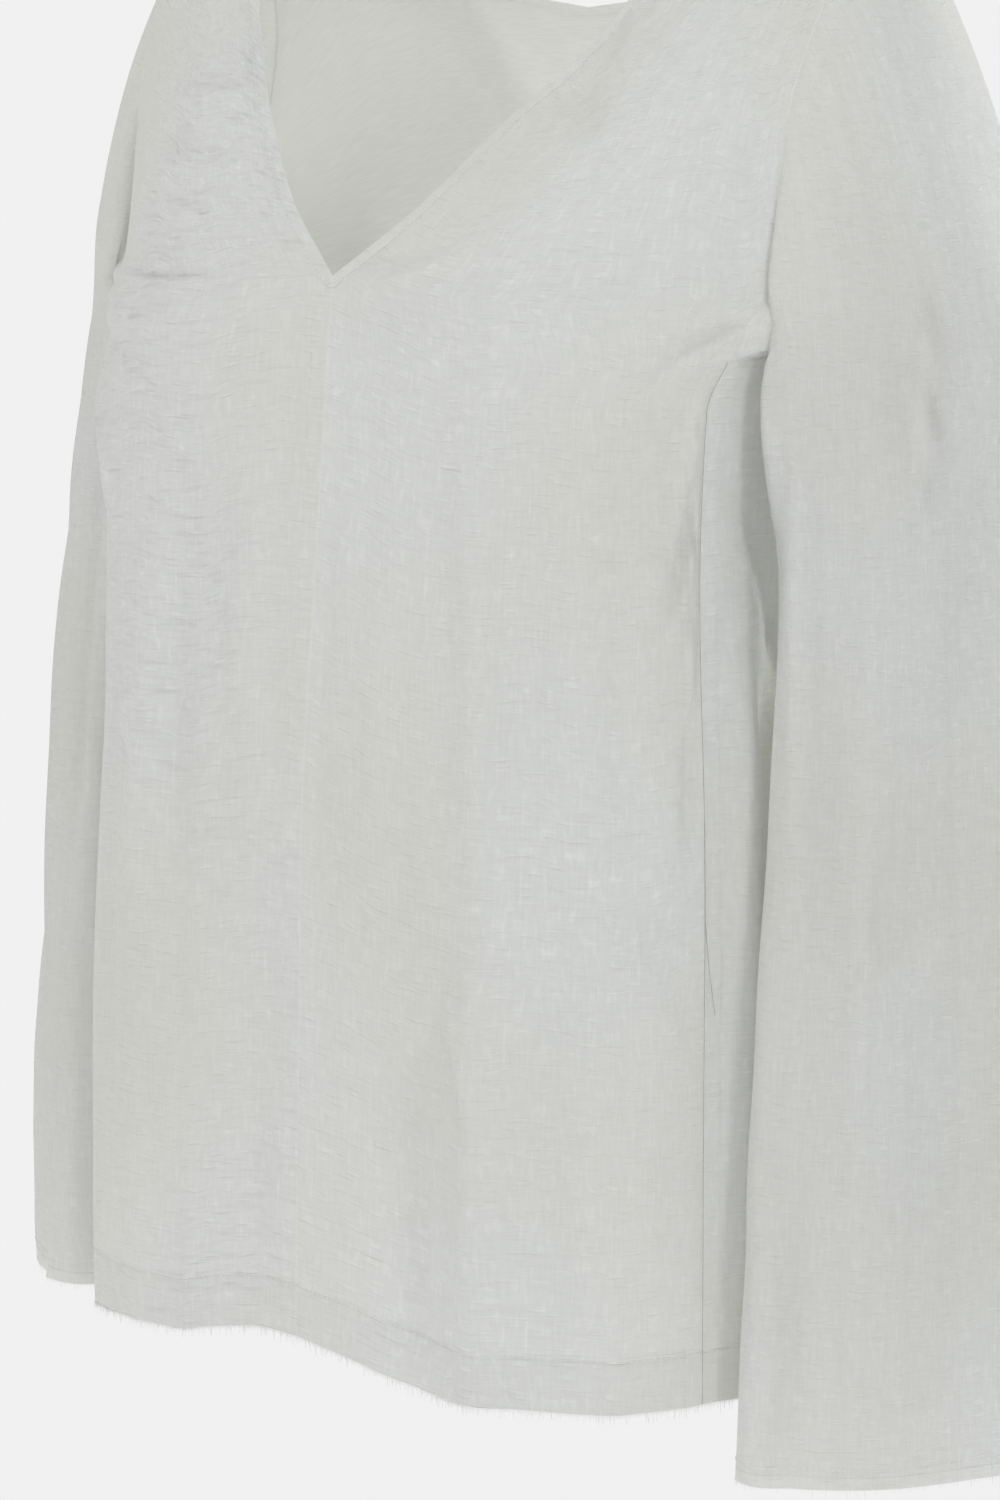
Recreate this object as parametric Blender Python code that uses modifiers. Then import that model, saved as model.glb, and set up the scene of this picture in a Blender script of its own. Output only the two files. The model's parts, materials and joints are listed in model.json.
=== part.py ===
"""A loose woven v-neck top, worn: two fronts joined down the middle, a back and two wide sleeves.

Metres, +Z up. The front faces -Y and the wearer's left is +X. The origin lies between the two
ends of the neck on the line of the shoulders, where the wearer holds the top up.

Every piece is one open sheet of cloth: a grid whose points are worked out from the short tables
below, a row for each section, then given its wall by Solidify. Heights run along a piece from
0 at its hem to 1 at the shoulder seam, and across runs from 0 at the middle to 1 at the side.
"""

import math

import bmesh
import bpy
import numpy as np

CLOTH_WALL = 0.0015
SEAM_GAP = 0.0005
SLEEVE_GAP = 0.0020

UNDERARM = 0.66  # heights along the panels where their edges turn a corner
V_POINT = 0.73
YOKE = 0.80  # the height at which the back starts to turn forward over the shoulders
SHOULDER_TURN = 0.95  # the height at which the front starts to turn back over them
NECK_SHARE = 0.5  # across the back's top edge, where the neck ends and the shoulder seam starts

COLUMNS_HALF = 13
ROWS_TO_UNDERARM = 13
ROWS_TO_V = 3
ROWS_TO_TURN = 6
ROWS_OVER_SHOULDER = 4
ROWS_TO_YOKE = 5
ROWS_OF_YOKE = 7
ROWS_SLEEVE = 22

# Where the side seam runs, from the hem to the underarm.
SIDE_SEAM = {
    "height": (0.00, 0.20, 0.38, 0.55, 0.64, UNDERARM),
    "x": (0.1870, 0.1850, 0.1835, 0.1805, 0.1821, 0.1879),
    "y": (-0.1090, -0.1065, -0.1047, -0.1055, -0.1030, -0.0954),
    "z": (-0.6992, -0.5700, -0.4400, -0.3180, -0.2400, -0.2190),
}
# The armhole, from the underarm over the shoulder: its front leg and its back leg. The last row
# of a table that ends above 1 lies past the shoulder seam, and carries the curve level over it.
ARMHOLE_FRONT = {
    "height": (UNDERARM, 0.70, V_POINT, 0.755, 0.80, 0.87, 0.92, SHOULDER_TURN, 0.975, 1.00, 1.025),
    "x": (0.1879, 0.1934, 0.1976, 0.1990, 0.1985, 0.1990, 0.2015, 0.2035, 0.2060, 0.2080, 0.2070),
    "y": (-0.0954, -0.0894, -0.0839, -0.0795, -0.0750, -0.0680, -0.0570, -0.0440, -0.0240, 0.0000, 0.0240),
    "z": (-0.2190, -0.2032, -0.1965, -0.1900, -0.1600, -0.1150, -0.0800, -0.0570, -0.0350, -0.0260, -0.0350),
}
ARMHOLE_BACK = {
    "height": (UNDERARM, 0.69, 0.725, 0.765, YOKE, 0.85, 0.90, 0.95, 1.00, 1.05),
    "x": (0.1879, 0.1925, 0.1980, 0.2030, 0.2060, 0.2085, 0.2090, 0.2090, 0.2080, 0.2070),
    "y": (-0.0954, -0.0740, -0.0430, -0.0100, 0.0160, 0.0360, 0.0440, 0.0320, 0.0000, -0.0320),
    "z": (-0.2190, -0.2175, -0.2080, -0.1900, -0.1660, -0.1280, -0.0850, -0.0440, -0.0260, -0.0440),
}
# The middle seam of the front up to the point of the V, then the edge of the neck.
FRONT_MIDDLE = {
    "height": (0.00, 0.20, 0.38, 0.55, UNDERARM, V_POINT, 0.80, 0.87, 0.92, 0.95, 0.975, 1.00, 1.025),
    "x": (0, 0, 0, 0, 0, 0, 0.0366, 0.0727, 0.0985, 0.1135, 0.1210, 0.1235, 0.1210),
    "y": (
        *(-0.1805, -0.1780, -0.1745, -0.1640, -0.1564, -0.1515),
        *(-0.1364, -0.1130, -0.0897, -0.0740, -0.0380, 0.0000, 0.0380),
    ),
    "z": (
        *(-0.6830, -0.5600, -0.4370, -0.3180, -0.2370, -0.1860),
        *(-0.1550, -0.1135, -0.0830, -0.0580, -0.0145, 0.0000, -0.0145),
    ),
}
# The middle of the back up to the neck.
BACK_MIDDLE = {
    "height": (0.00, 0.20, 0.38, 0.55, UNDERARM, YOKE),
    "x": (0.0, 0.0, 0.0, 0.0, 0.0, 0.0),
    "y": (0.0550, 0.0500, 0.0480, 0.0520, 0.0560, 0.0570),
    "z": (-0.7000, -0.5650, -0.4370, -0.3180, -0.2400, -0.1550),
}
# The edge of the neck at the back, from its middle to the shoulder seam.
BACK_NECK = {
    "height": (0.00, 0.35, 0.70, 1.00),
    "x": (0.0000, 0.0540, 0.1000, 0.1235),
    "y": (0.0350, 0.0310, 0.0160, 0.0000),
    "z": (-0.0680, -0.0600, -0.0300, 0.0000),
}
# The shoulder seam, from the neck to the top of the armhole.
SHOULDER_SEAM = {
    "height": (0.00, 0.50, 1.00),
    "x": (0.1235, 0.1660, 0.2080),
    "y": (0.0000, 0.0000, 0.0000),
    "z": (0.0000, -0.0115, -0.0260),
}
# How far a row turns from the middle to the side, in degrees, and how far its middle bows out.
FRONT_ROUND = {
    "height": (0.00, 0.38, UNDERARM, V_POINT, 0.80, 0.90, 1.00),
    "turn": (85, 85, 84, 66, 54, 40, 8),
    "bow": (0.006, 0.006, 0.010, 0.012, 0.010, 0.006, 0.000),
}
BACK_ROUND = {
    "height": (0.00, 0.38, UNDERARM, 0.725, YOKE),
    "turn": (100, 100, 100, 88, 70),
    "bow": (0.024, 0.024, 0.024, 0.020, 0.014),
}
# How steeply the back ends at its top edge, in degrees from upright, by the place across it.
BACK_TOP_TURN = (40, 88)
# Sections of a sleeve below its armhole: centre, half of its depth and of its width, how far its
# back is turned outwards and how far its outer side is tilted up, both in degrees.
SLEEVE_SECTIONS = {
    "height": (0.00, 0.08, 0.17, 0.28, 0.45, 0.70, 1.00),
    "x": (0.2010, 0.2200, 0.2310, 0.2380, 0.2460, 0.2520, 0.2560),
    "y": (-0.0300, -0.0170, -0.0060, -0.0040, -0.0070, -0.0080, -0.0080),
    "z": (-0.1310, -0.1890, -0.2480, -0.3120, -0.4150, -0.5700, -0.7320),
    "depth": (0.0730, 0.0740, 0.0790, 0.0830, 0.0900, 0.1030, 0.1120),
    "width": (0.1050, 0.0555, 0.0400, 0.0360, 0.0370, 0.0410, 0.0440),
    "turn": (0, 10, 20, 21, 22, 23, 24),
    "tilt": (83, 60, 32, 10, 2, 0, 0),
}
SLEEVE_SEAM = 45  # degrees from the inner side towards the front, where a sleeve's own seam runs
SLEEVE_FREE = 0.17  # the height at which a sleeve no longer keeps the shape of its armhole
# How far a sleeve leaves its armhole outwards, backwards and upwards before it falls, by the place
# round the armhole: its "height" is 0 under the arm, 0.5 on the shoulder and 1 under the arm again.
SLEEVE_LEAVE = {
    "height": (0.00, 0.06, 0.10, 0.16, 0.30, 0.50, 0.60, 0.70, 0.85, 0.94, 1.00),
    "out": (0.014, 0.009, 0.000, -0.001, 0.003, 0.004, 0.007, 0.008, 0.009, 0.013, 0.014),
    "fore": (0.000, -0.002, -0.005, -0.005, -0.002, 0.000, 0.000, 0.000, 0.000, 0.000, 0.000),
    "up": (0.008, 0.006, 0.002, 0.000, 0.000, 0.000, 0.000, 0.000, 0.000, 0.004, 0.008),
}

# The largest folds: place across, half width, how far it stands out, and the stretch it covers.
FRONT_FOLDS = {
    "left": {
        "across": (0.20, 0.46, 0.72),
        "width": (0.12, 0.11, 0.13),
        "out": (-0.0060, 0.0060, -0.0030),
        "low": (-0.20, -0.20, -0.20),
        "high": (0.50, 0.60, 0.52),
    },
    "right": {
        "across": (0.22, 0.50, 0.74),
        "width": (0.13, 0.12, 0.10),
        "out": (-0.0050, 0.0050, -0.0030),
        "low": (-0.20, -0.20, -0.20),
        "high": (0.46, 0.60, 0.50),
    },
}
BACK_FOLDS = {
    "across": (-0.72, -0.50, -0.26, 0.00, 0.26, 0.48, 0.70),
    "width": (0.08, 0.11, 0.11, 0.12, 0.11, 0.10, 0.08),
    "out": (0.0050, -0.0070, 0.0080, -0.0070, 0.0085, -0.0075, 0.0060),
    "low": (-0.20, -0.20, -0.20, -0.20, -0.20, -0.20, -0.20),
    "high": (0.58, 0.56, 0.62, 0.50, 0.64, 0.56, 0.60),
}
# Round a sleeve, across runs from 0 at the underarm by the front to 1 at the underarm again.
SLEEVE_FOLDS = {
    "across": (0.30, 0.48, 0.62, 0.76),
    "width": (0.05, 0.06, 0.05, 0.06),
    "out": (0.0030, 0.0050, -0.0050, 0.0060),
    "low": (0.12, 0.30, 0.20, 0.35),
    "high": (0.55, 1.30, 1.30, 1.30),
}

HEM_DROP = {"left": 0.000, "right": 0.003}  # each side seam's end below the table's
# How far the hem of each front dips, from the middle seam (0) to the side seam (1).
HEM_WAVE = {
    "height": (0.0, 0.1, 0.2, 0.3, 0.4, 0.5, 0.6, 0.7, 0.8, 0.9, 1.0),
    "left": (0, 0.0028, 0.0070, 0.0088, 0.0065, 0.0047, 0.0046, 0.0044, 0.0022, 0.0008, 0),
    "right": (0, -0.0037, -0.0023, 0.0004, -0.0015, -0.0039, -0.0036, -0.0030, 0.0004, 0.0010, 0),
}
CUFF_RISE = {"left": 0.000, "right": 0.028}  # each cuff above the table's

LINEN = {"base": (0.62, 0.625, 0.60), "roughness": 0.85}


def end_slopes(knots, values):
    """Slopes at the knots that let a curve pass through them without overshooting."""
    steps = np.diff(values) / np.diff(knots)
    slopes = np.empty(len(knots))
    slopes[0] = steps[0]
    slopes[-1] = steps[-1]
    before, after = steps[:-1], steps[1:]
    same_way = before * after > 0
    total = np.where(same_way, before + after, 1.0)
    slopes[1:-1] = np.where(same_way, 2 * before * after / total, 0.0)
    return slopes


def smooth(knots, values, at):
    """The smooth curve through the knots, read at the places given."""
    knots = np.asarray(knots, float)
    values = np.asarray(values, float)
    slopes = end_slopes(knots, values)
    left = np.clip(np.searchsorted(knots, at, side="right") - 1, 0, len(knots) - 2)
    span = knots[left + 1] - knots[left]
    u = np.clip((at - knots[left]) / span, 0.0, 1.0)
    value = (2 * u**3 - 3 * u**2 + 1) * values[left]
    value += (3 * u**2 - 2 * u**3) * values[left + 1]
    value += (u**3 - 2 * u**2 + u) * span * slopes[left]
    value += (u**3 - u**2) * span * slopes[left + 1]
    return value


def read(table, name, at, corners=()):
    """A column of a table at the given heights, with its corners kept sharp."""
    knots = np.asarray(table["height"], float)
    values = np.asarray(table[name], float)
    at = np.clip(np.asarray(at, float), knots[0], knots[-1])
    found = np.empty(at.shape)
    ends = [knots[0], *[c for c in corners if knots[0] < c < knots[-1]], knots[-1]]
    for low, high in zip(ends[:-1], ends[1:]):
        inside = (knots >= low - 1e-9) & (knots <= high + 1e-9)
        here = (at >= low - 1e-9) & (at <= high + 1e-9)
        found[here] = smooth(knots[inside], values[inside], at[here])
    return found


def point_of(table, at, corners=()):
    """The points of an edge at the given heights."""
    return np.stack([read(table, name, at, corners) for name in "xyz"], axis=-1)


def side_edge(heights, armhole, drop):
    """A panel's outer edge: the side seam, then its leg of the armhole."""
    low = heights <= UNDERARM
    edge = np.empty((len(heights), 3))
    edge[low] = point_of(SIDE_SEAM, heights[low])
    edge[~low] = point_of(armhole, heights[~low])
    edge[:, 2] -= drop * np.clip(1 - heights / UNDERARM, 0, 1) ** 2
    return edge


def rows_between(inner, outer, turn, bow, out_sign, columns):
    """Rows of points from the inner edge to the outer one, each rounded like part of an ellipse."""
    across = np.linspace(0, 1, columns)
    angle = np.radians(turn)[:, None]
    sideways = np.sin(across * angle) / np.sin(angle)
    forward = (np.cos(across * angle) - np.cos(angle)) / (1 - np.cos(angle))
    down = 1 - (1 - across) ** 2
    rows = np.empty((len(turn), columns, 3))
    rows[..., 0] = inner[:, None, 0] + (outer - inner)[:, None, 0] * sideways
    rows[..., 1] = outer[:, None, 1] + (inner - outer)[:, None, 1] * forward
    rows[..., 1] += out_sign * bow[:, None] * np.sin(math.pi * across) ** 1.5
    rows[..., 2] = inner[:, None, 2] + (outer - inner)[:, None, 2] * down
    return rows


def fold_height(folds, across, heights):
    """How far the folds lift the cloth at each point of a grid."""
    lift = np.zeros((len(heights), len(across)))
    for place, width, out, low, high in zip(*(folds[k] for k in ("across", "width", "out", "low", "high"))):
        ridge = np.exp(-(((across - place) / width) ** 2))
        along = (heights - low) / (high - low)
        fade = np.where((along > 0) & (along < 1), np.sin(math.pi * np.clip(along, 0, 1)) ** 1.2, 0)
        lift += out * fade[:, None] * ridge[None, :]
    return lift


def outward(grid, inside):
    """Unit normals of a grid of points, pointing away from the line inside it."""
    normal = np.cross(np.gradient(grid, axis=1), np.gradient(grid, axis=0))
    normal /= np.linalg.norm(normal, axis=-1, keepdims=True)
    facing = np.sum(normal * (grid - inside), axis=-1, keepdims=True)
    return normal * np.where(facing.mean() < 0, -1, 1)


def drawn_in(grid, side, distance):
    """The grid with one border moved in by a distance, to leave room for a seam."""
    border, beside = {"inner": (0, 1), "outer": (-1, -2)}.get(side, (None, None))
    if border is not None:
        step = grid[:, beside] - grid[:, border]
        grid[:, border] += step / np.linalg.norm(step, axis=-1, keepdims=True) * distance
    else:
        step = grid[-2] - grid[-1]
        grid[-1] += step / np.linalg.norm(step, axis=-1, keepdims=True) * distance
    return grid


def front_heights():
    turn = np.linspace(0, 1, ROWS_OVER_SHOULDER + 1)
    return np.concatenate(
        [
            np.linspace(0, UNDERARM, ROWS_TO_UNDERARM + 1)[:-1],
            np.linspace(UNDERARM, V_POINT, ROWS_TO_V + 1)[:-1],
            np.linspace(V_POINT, SHOULDER_TURN, ROWS_TO_TURN + 1)[:-1],
            1 - (1 - SHOULDER_TURN) * (1 - turn) ** 1.5,
        ]
    )


def back_heights():
    return np.concatenate(
        [
            np.linspace(0, UNDERARM, ROWS_TO_UNDERARM + 1)[:-1],
            np.linspace(UNDERARM, YOKE, ROWS_TO_YOKE + 1)[:-1],
            1 - (1 - YOKE) * (1 - np.linspace(0, 1, ROWS_OF_YOKE + 1)) ** 1.5,
        ]
    )


def front_grid(side):
    """One front, on the wearer's left."""
    heights = front_heights()
    across = np.linspace(0, 1, COLUMNS_HALF)
    inner = point_of(FRONT_MIDDLE, heights, (V_POINT,))
    outer = side_edge(heights, ARMHOLE_FRONT, HEM_DROP[side])
    turn = read(FRONT_ROUND, "turn", heights)
    bow = read(FRONT_ROUND, "bow", heights)
    grid = rows_between(inner, outer, turn, bow, -1, COLUMNS_HALF)
    seam = point_of(SHOULDER_SEAM, across)
    near_top = np.clip((heights - YOKE) / (1 - YOKE), 0, 1) ** 2
    grid += near_top[:, None, None] * (seam - grid[-1])[None]
    grid[..., 2] -= np.clip(1 - heights / 0.3, 0, 1)[:, None] ** 1.5 * read(HEM_WAVE, side, across)
    lift = fold_height(FRONT_FOLDS[side], across, heights)
    # The folds leave the seams where they are, so that the next piece still meets them.
    lift *= np.minimum(1, np.minimum(across, 1 - across) / 0.08)[None, :]
    grid += outward(grid, np.array([0.0, -0.05, -0.4])) * lift[..., None]
    for border in ("inner", "outer", "top"):
        grid = drawn_in(grid, border, SEAM_GAP / 2)
    return grid


def over_shoulder(yoke, top, outer, heights, across):
    """The back above its yoke line: it turns forward, and ends at the neck and the shoulder."""
    rise = ((heights - YOKE) / (1 - YOKE))[:, None]
    end = np.radians(np.interp(across, (0, NECK_SHARE), BACK_TOP_TURN))[None, :]
    forward = (1 - np.cos(rise * end)) / (1 - np.cos(end))
    upward = np.sin(rise * end) / np.sin(end)
    rows = np.empty((len(heights), len(across), 3))
    for axis, share in enumerate((rise, forward, upward)):
        rows[..., axis] = yoke[:, axis] + (top - yoke)[:, axis] * share
    return rows + across[None, :, None] ** 3 * (outer - rows[:, -1])[:, None]


def back_half(side):
    """The half of the back on the wearer's left, from its middle to its side."""
    heights = back_heights()
    across = np.linspace(0, 1, COLUMNS_HALF)
    outer = side_edge(heights, ARMHOLE_BACK, HEM_DROP[side])
    low = heights <= YOKE + 1e-9
    inner = point_of(BACK_MIDDLE, heights[low])
    turn = read(BACK_ROUND, "turn", heights[low])
    bow = read(BACK_ROUND, "bow", heights[low])
    body = rows_between(inner, outer[low], turn, bow, 1, COLUMNS_HALF)
    neck = point_of(BACK_NECK, across / NECK_SHARE)
    shoulder = point_of(SHOULDER_SEAM, (across - NECK_SHARE) / (1 - NECK_SHARE))
    top = np.where((across < NECK_SHARE)[:, None], neck, shoulder)
    upper = over_shoulder(body[-1], top, outer[~low], heights[~low], across)
    return np.concatenate([body, upper])


def back_grid():
    """The whole back, from the wearer's right to left."""
    left = back_half("left")
    right = back_half("right") * (-1, 1, 1)
    grid = np.concatenate([right[:, :0:-1], left], axis=1)
    heights = back_heights()
    across = np.linspace(-1, 1, grid.shape[1])
    lift = fold_height(BACK_FOLDS, across, heights)
    lift *= np.minimum(1, (1 - np.abs(across)) / 0.08)[None, :]
    grid += outward(grid, np.array([0.0, -0.05, -0.4])) * lift[..., None]
    for border in ("inner", "outer", "top"):
        grid = drawn_in(grid, border, SEAM_GAP / 2)
    return grid


def armhole_loop():
    """The points round an armhole: up the front leg, then down the back leg."""
    front = front_heights()
    back = back_heights()
    up = side_edge(front[front >= UNDERARM - 1e-9], ARMHOLE_FRONT, 0)
    down = side_edge(back[back >= UNDERARM - 1e-9], ARMHOLE_BACK, 0)[::-1]
    return np.concatenate([up, down[1:]])


def sleeve_grid(side):
    """One sleeve on the wearer's left, from its armhole down to its cuff."""
    loop = armhole_loop()
    steps = np.linalg.norm(np.diff(loop, axis=0), axis=1)
    across = np.concatenate([[0], np.cumsum(steps)]) / steps.sum()
    heights = np.linspace(0, 1, ROWS_SLEEVE + 1) ** 1.15
    section = {k: read(SLEEVE_SECTIONS, k, heights) for k in SLEEVE_SECTIONS if k != "height"}
    section["z"] = section["z"] + CUFF_RISE[side] * heights**2
    # Across runs from the sleeve's seam by its front, outer side and back to the seam again.
    angle = 2 * math.pi * across + math.radians(SLEEVE_SEAM)
    turn = np.radians(section["turn"])[:, None]
    tilt = np.radians(section["tilt"])[:, None]
    along_depth = -np.sin(angle)[None, :] * section["depth"][:, None]
    along_width = -np.cos(angle)[None, :] * section["width"][:, None]
    level = along_width * np.cos(tilt)
    grid = np.empty((len(heights), len(across), 3))
    grid[..., 0] = section["x"][:, None] + level * np.cos(turn) + along_depth * np.sin(turn)
    grid[..., 1] = section["y"][:, None] - level * np.sin(turn) + along_depth * np.cos(turn)
    grid[..., 2] = section["z"][:, None] + along_width * np.sin(tilt)
    hold = np.clip(1 - heights / SLEEVE_FREE, 0, 1)
    grid += hold[:, None, None] ** 1.5 * (loop - grid[0])[None]
    leave = 6.75 * (1 - hold) * hold**2
    for axis, way in enumerate(("out", "fore", "up")):
        grid[..., axis] += leave[:, None] * read(SLEEVE_LEAVE, way, across)[None]
    lift = fold_height(SLEEVE_FOLDS, across, heights)
    grid += outward(grid, np.array([0.25, 0.0, -0.4])) * lift[..., None]
    grid[:, -1] = grid[:, 0]
    step = grid[1] - grid[0]
    grid[0] += step / np.linalg.norm(step, axis=-1, keepdims=True) * SLEEVE_GAP
    return grid


def linen():
    """Pale undyed linen."""
    material = bpy.data.materials.new("linen")
    material.use_nodes = True
    shader = material.node_tree.nodes["Principled BSDF"]
    shader.inputs["Base Color"].default_value = (*LINEN["base"], 1)
    shader.inputs["Roughness"].default_value = LINEN["roughness"]
    shader.inputs["Metallic"].default_value = 0.0
    return material


def sheet(name, grid, collection, closed=False, turned=False):
    """A grid of points as a piece of cloth with its wall inside the surface."""
    rows, columns = grid.shape[:2]
    mesh = bpy.data.meshes.new(name)
    bm = bmesh.new()
    bmesh.ops.create_grid(bm, x_segments=columns - 1, y_segments=rows - 1, size=1.0)
    for vert in bm.verts:
        column = round((vert.co.x + 1) / 2 * (columns - 1))
        row = round((vert.co.y + 1) / 2 * (rows - 1))
        vert.co = grid[row, column]
    if closed:
        bmesh.ops.remove_doubles(bm, verts=bm.verts, dist=1e-6)
    if turned:
        bmesh.ops.reverse_faces(bm, faces=bm.faces)
    for face in bm.faces:
        face.smooth = True
    bm.to_mesh(mesh)
    bm.free()
    piece = bpy.data.objects.new(name, mesh)
    collection.objects.link(piece)
    mesh.materials.append(linen())
    wall = piece.modifiers.new("wall", "SOLIDIFY")
    wall.thickness = CLOTH_WALL
    wall.offset = -1.0
    return piece


def main():
    for obj in list(bpy.data.objects):
        bpy.data.objects.remove(obj)
    collection = bpy.data.collections.new("v_neck_top")
    bpy.context.scene.collection.children.link(collection)
    mirror = (-1, 1, 1)
    sheet("front_left", front_grid("left"), collection)
    sheet("front_right", front_grid("right") * mirror, collection, turned=True)
    sheet("back", back_grid(), collection, turned=True)
    sheet("sleeve_left", sleeve_grid("left"), collection, closed=True, turned=True)
    sheet("sleeve_right", sleeve_grid("right") * mirror, collection, closed=True)


main()
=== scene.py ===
# %% [markdown]
# # A sheer linen v-neck top, worn
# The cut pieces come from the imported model: two fronts, a back and two sleeves. On the real top
# each is one layer of thin linen, so here each becomes one fine shell of its own. The packed
# solids are coarse on purpose, and a shell made from them would show their facets. So this lesson
# works the same cut out again from its tables, on a much finer grid, and then adds what cloth has:
# creases, a weave, turned and frayed edges, and the lines of the seams.

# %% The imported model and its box
import json
import math

import bmesh
import bpy
import numpy as np
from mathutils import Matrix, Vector

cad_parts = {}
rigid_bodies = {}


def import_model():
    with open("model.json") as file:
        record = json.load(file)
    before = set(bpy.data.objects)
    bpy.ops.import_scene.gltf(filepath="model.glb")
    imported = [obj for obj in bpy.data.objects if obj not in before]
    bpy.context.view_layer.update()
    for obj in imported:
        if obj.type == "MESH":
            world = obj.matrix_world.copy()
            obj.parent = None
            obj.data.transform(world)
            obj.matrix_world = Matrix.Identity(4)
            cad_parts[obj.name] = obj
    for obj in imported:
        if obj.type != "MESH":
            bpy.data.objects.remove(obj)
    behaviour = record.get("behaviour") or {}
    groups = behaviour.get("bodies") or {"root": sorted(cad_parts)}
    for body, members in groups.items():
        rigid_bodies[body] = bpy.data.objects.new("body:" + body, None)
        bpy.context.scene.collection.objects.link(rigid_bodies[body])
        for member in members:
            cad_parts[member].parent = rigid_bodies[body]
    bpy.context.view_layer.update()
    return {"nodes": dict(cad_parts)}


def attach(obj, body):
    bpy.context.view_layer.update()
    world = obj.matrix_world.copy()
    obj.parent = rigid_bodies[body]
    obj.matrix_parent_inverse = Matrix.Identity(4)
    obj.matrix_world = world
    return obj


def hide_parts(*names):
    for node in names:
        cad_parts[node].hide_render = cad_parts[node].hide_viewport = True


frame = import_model()
print("nodes:", sorted(frame["nodes"]))

# %% [markdown]
# ## Smooth curves through a few measured points
# A maker's pattern gives a few points along each edge, and a smooth line joins them. A monotone
# cubic is used, because it passes through every point and never swings out between them, as a
# plain spline can. Corners, such as the point of the V, are kept by treating each side alone.

# %% Curves through measured points
def end_slopes(knots, values):
    steps = np.diff(values) / np.diff(knots)
    slopes = np.empty(len(knots))
    slopes[0], slopes[-1] = steps[0], steps[-1]
    before, after = steps[:-1], steps[1:]
    same_way = before * after > 0
    total = np.where(same_way, before + after, 1.0)
    slopes[1:-1] = np.where(same_way, 2 * before * after / total, 0.0)
    return slopes


def smooth(knots, values, at):
    slopes = end_slopes(knots, values)
    left = np.clip(np.searchsorted(knots, at, side="right") - 1, 0, len(knots) - 2)
    span = knots[left + 1] - knots[left]
    u = np.clip((at - knots[left]) / span, 0.0, 1.0)
    value = (2 * u**3 - 3 * u**2 + 1) * values[left] + (3 * u**2 - 2 * u**3) * values[left + 1]
    return value + (u**3 - 2 * u**2 + u) * span * slopes[left] + (u**3 - u**2) * span * slopes[left + 1]


def read(table, name, at, corners=()):
    knots, values = np.asarray(table["height"], float), np.asarray(table[name], float)
    at = np.clip(np.asarray(at, float), knots[0], knots[-1])
    found = np.empty(at.shape)
    ends = [knots[0], *[c for c in corners if knots[0] < c < knots[-1]], knots[-1]]
    for low, high in zip(ends[:-1], ends[1:]):
        inside = (knots >= low - 1e-9) & (knots <= high + 1e-9)
        here = (at >= low - 1e-9) & (at <= high + 1e-9)
        found[here] = smooth(knots[inside], values[inside], at[here])
    return found


def point_of(table, at, corners=()):
    return np.stack([read(table, name, at, corners) for name in "xyz"], axis=-1)


print("a curve through 3 points:", smooth(np.array([0, 1, 2.0]), np.array([0, 1, 0.0]), np.array([0.5, 1.5])))

# %% [markdown]
# ## The cut, as tables
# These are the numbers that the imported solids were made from, in metres. Heights run along a piece
# from 0 at its hem to 1 at the shoulder seam. Each table is one edge of a pattern piece, or the
# sections of a sleeve from its armhole to its cuff.

# %% The edges of the fronts and the back
UNDERARM, V_POINT, YOKE, NECK_SHARE = 0.66, 0.73, 0.80, 0.5
SIDE_SEAM = {
    "height": (0.00, 0.20, 0.38, 0.55, 0.64, UNDERARM),
    "x": (0.1870, 0.1850, 0.1835, 0.1805, 0.1821, 0.1879),
    "y": (-0.1090, -0.1065, -0.1047, -0.1055, -0.1030, -0.0954),
    "z": (-0.6992, -0.5700, -0.4400, -0.3180, -0.2400, -0.2190),
}
ARMHOLE_FRONT = {
    "height": (UNDERARM, 0.70, V_POINT, 0.755, 0.80, 0.87, 0.92, 0.95, 0.975, 1.00, 1.025),
    "x": (0.1879, 0.1934, 0.1976, 0.1990, 0.1985, 0.1990, 0.2015, 0.2035, 0.2060, 0.2080, 0.2070),
    "y": (-0.0954, -0.0894, -0.0839, -0.0795, -0.0750, -0.0680, -0.0570, -0.0440, -0.0240, 0.0000, 0.0240),
    "z": (-0.2190, -0.2032, -0.1965, -0.1900, -0.1600, -0.1150, -0.0800, -0.0570, -0.0350, -0.0260, -0.0350),
}
ARMHOLE_BACK = {
    "height": (UNDERARM, 0.69, 0.725, 0.765, YOKE, 0.85, 0.90, 0.95, 1.00, 1.05),
    "x": (0.1879, 0.1925, 0.1980, 0.2030, 0.2060, 0.2085, 0.2090, 0.2090, 0.2080, 0.2070),
    "y": (-0.0954, -0.0740, -0.0430, -0.0100, 0.0160, 0.0360, 0.0440, 0.0320, 0.0000, -0.0320),
    "z": (-0.2190, -0.2175, -0.2080, -0.1900, -0.1660, -0.1280, -0.0850, -0.0440, -0.0260, -0.0440),
}
FRONT_MIDDLE = {
    "height": (0.00, 0.20, 0.38, 0.55, UNDERARM, V_POINT, 0.80, 0.87, 0.92, 0.95, 0.975, 1.00, 1.025),
    "x": (0, 0, 0, 0, 0, 0, 0.0366, 0.0727, 0.0985, 0.1135, 0.1210, 0.1235, 0.1210),
    "y": (-0.1805, -0.1780, -0.1745, -0.1640, -0.1564, -0.1515, -0.1364, -0.1130, -0.0897, -0.0740,
          -0.0380, 0, 0.0380),
    "z": (-0.6830, -0.5600, -0.4370, -0.3180, -0.2370, -0.1860, -0.1550, -0.1135, -0.0830, -0.0580,
          -0.0145, 0, -0.0145),
}
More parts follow.
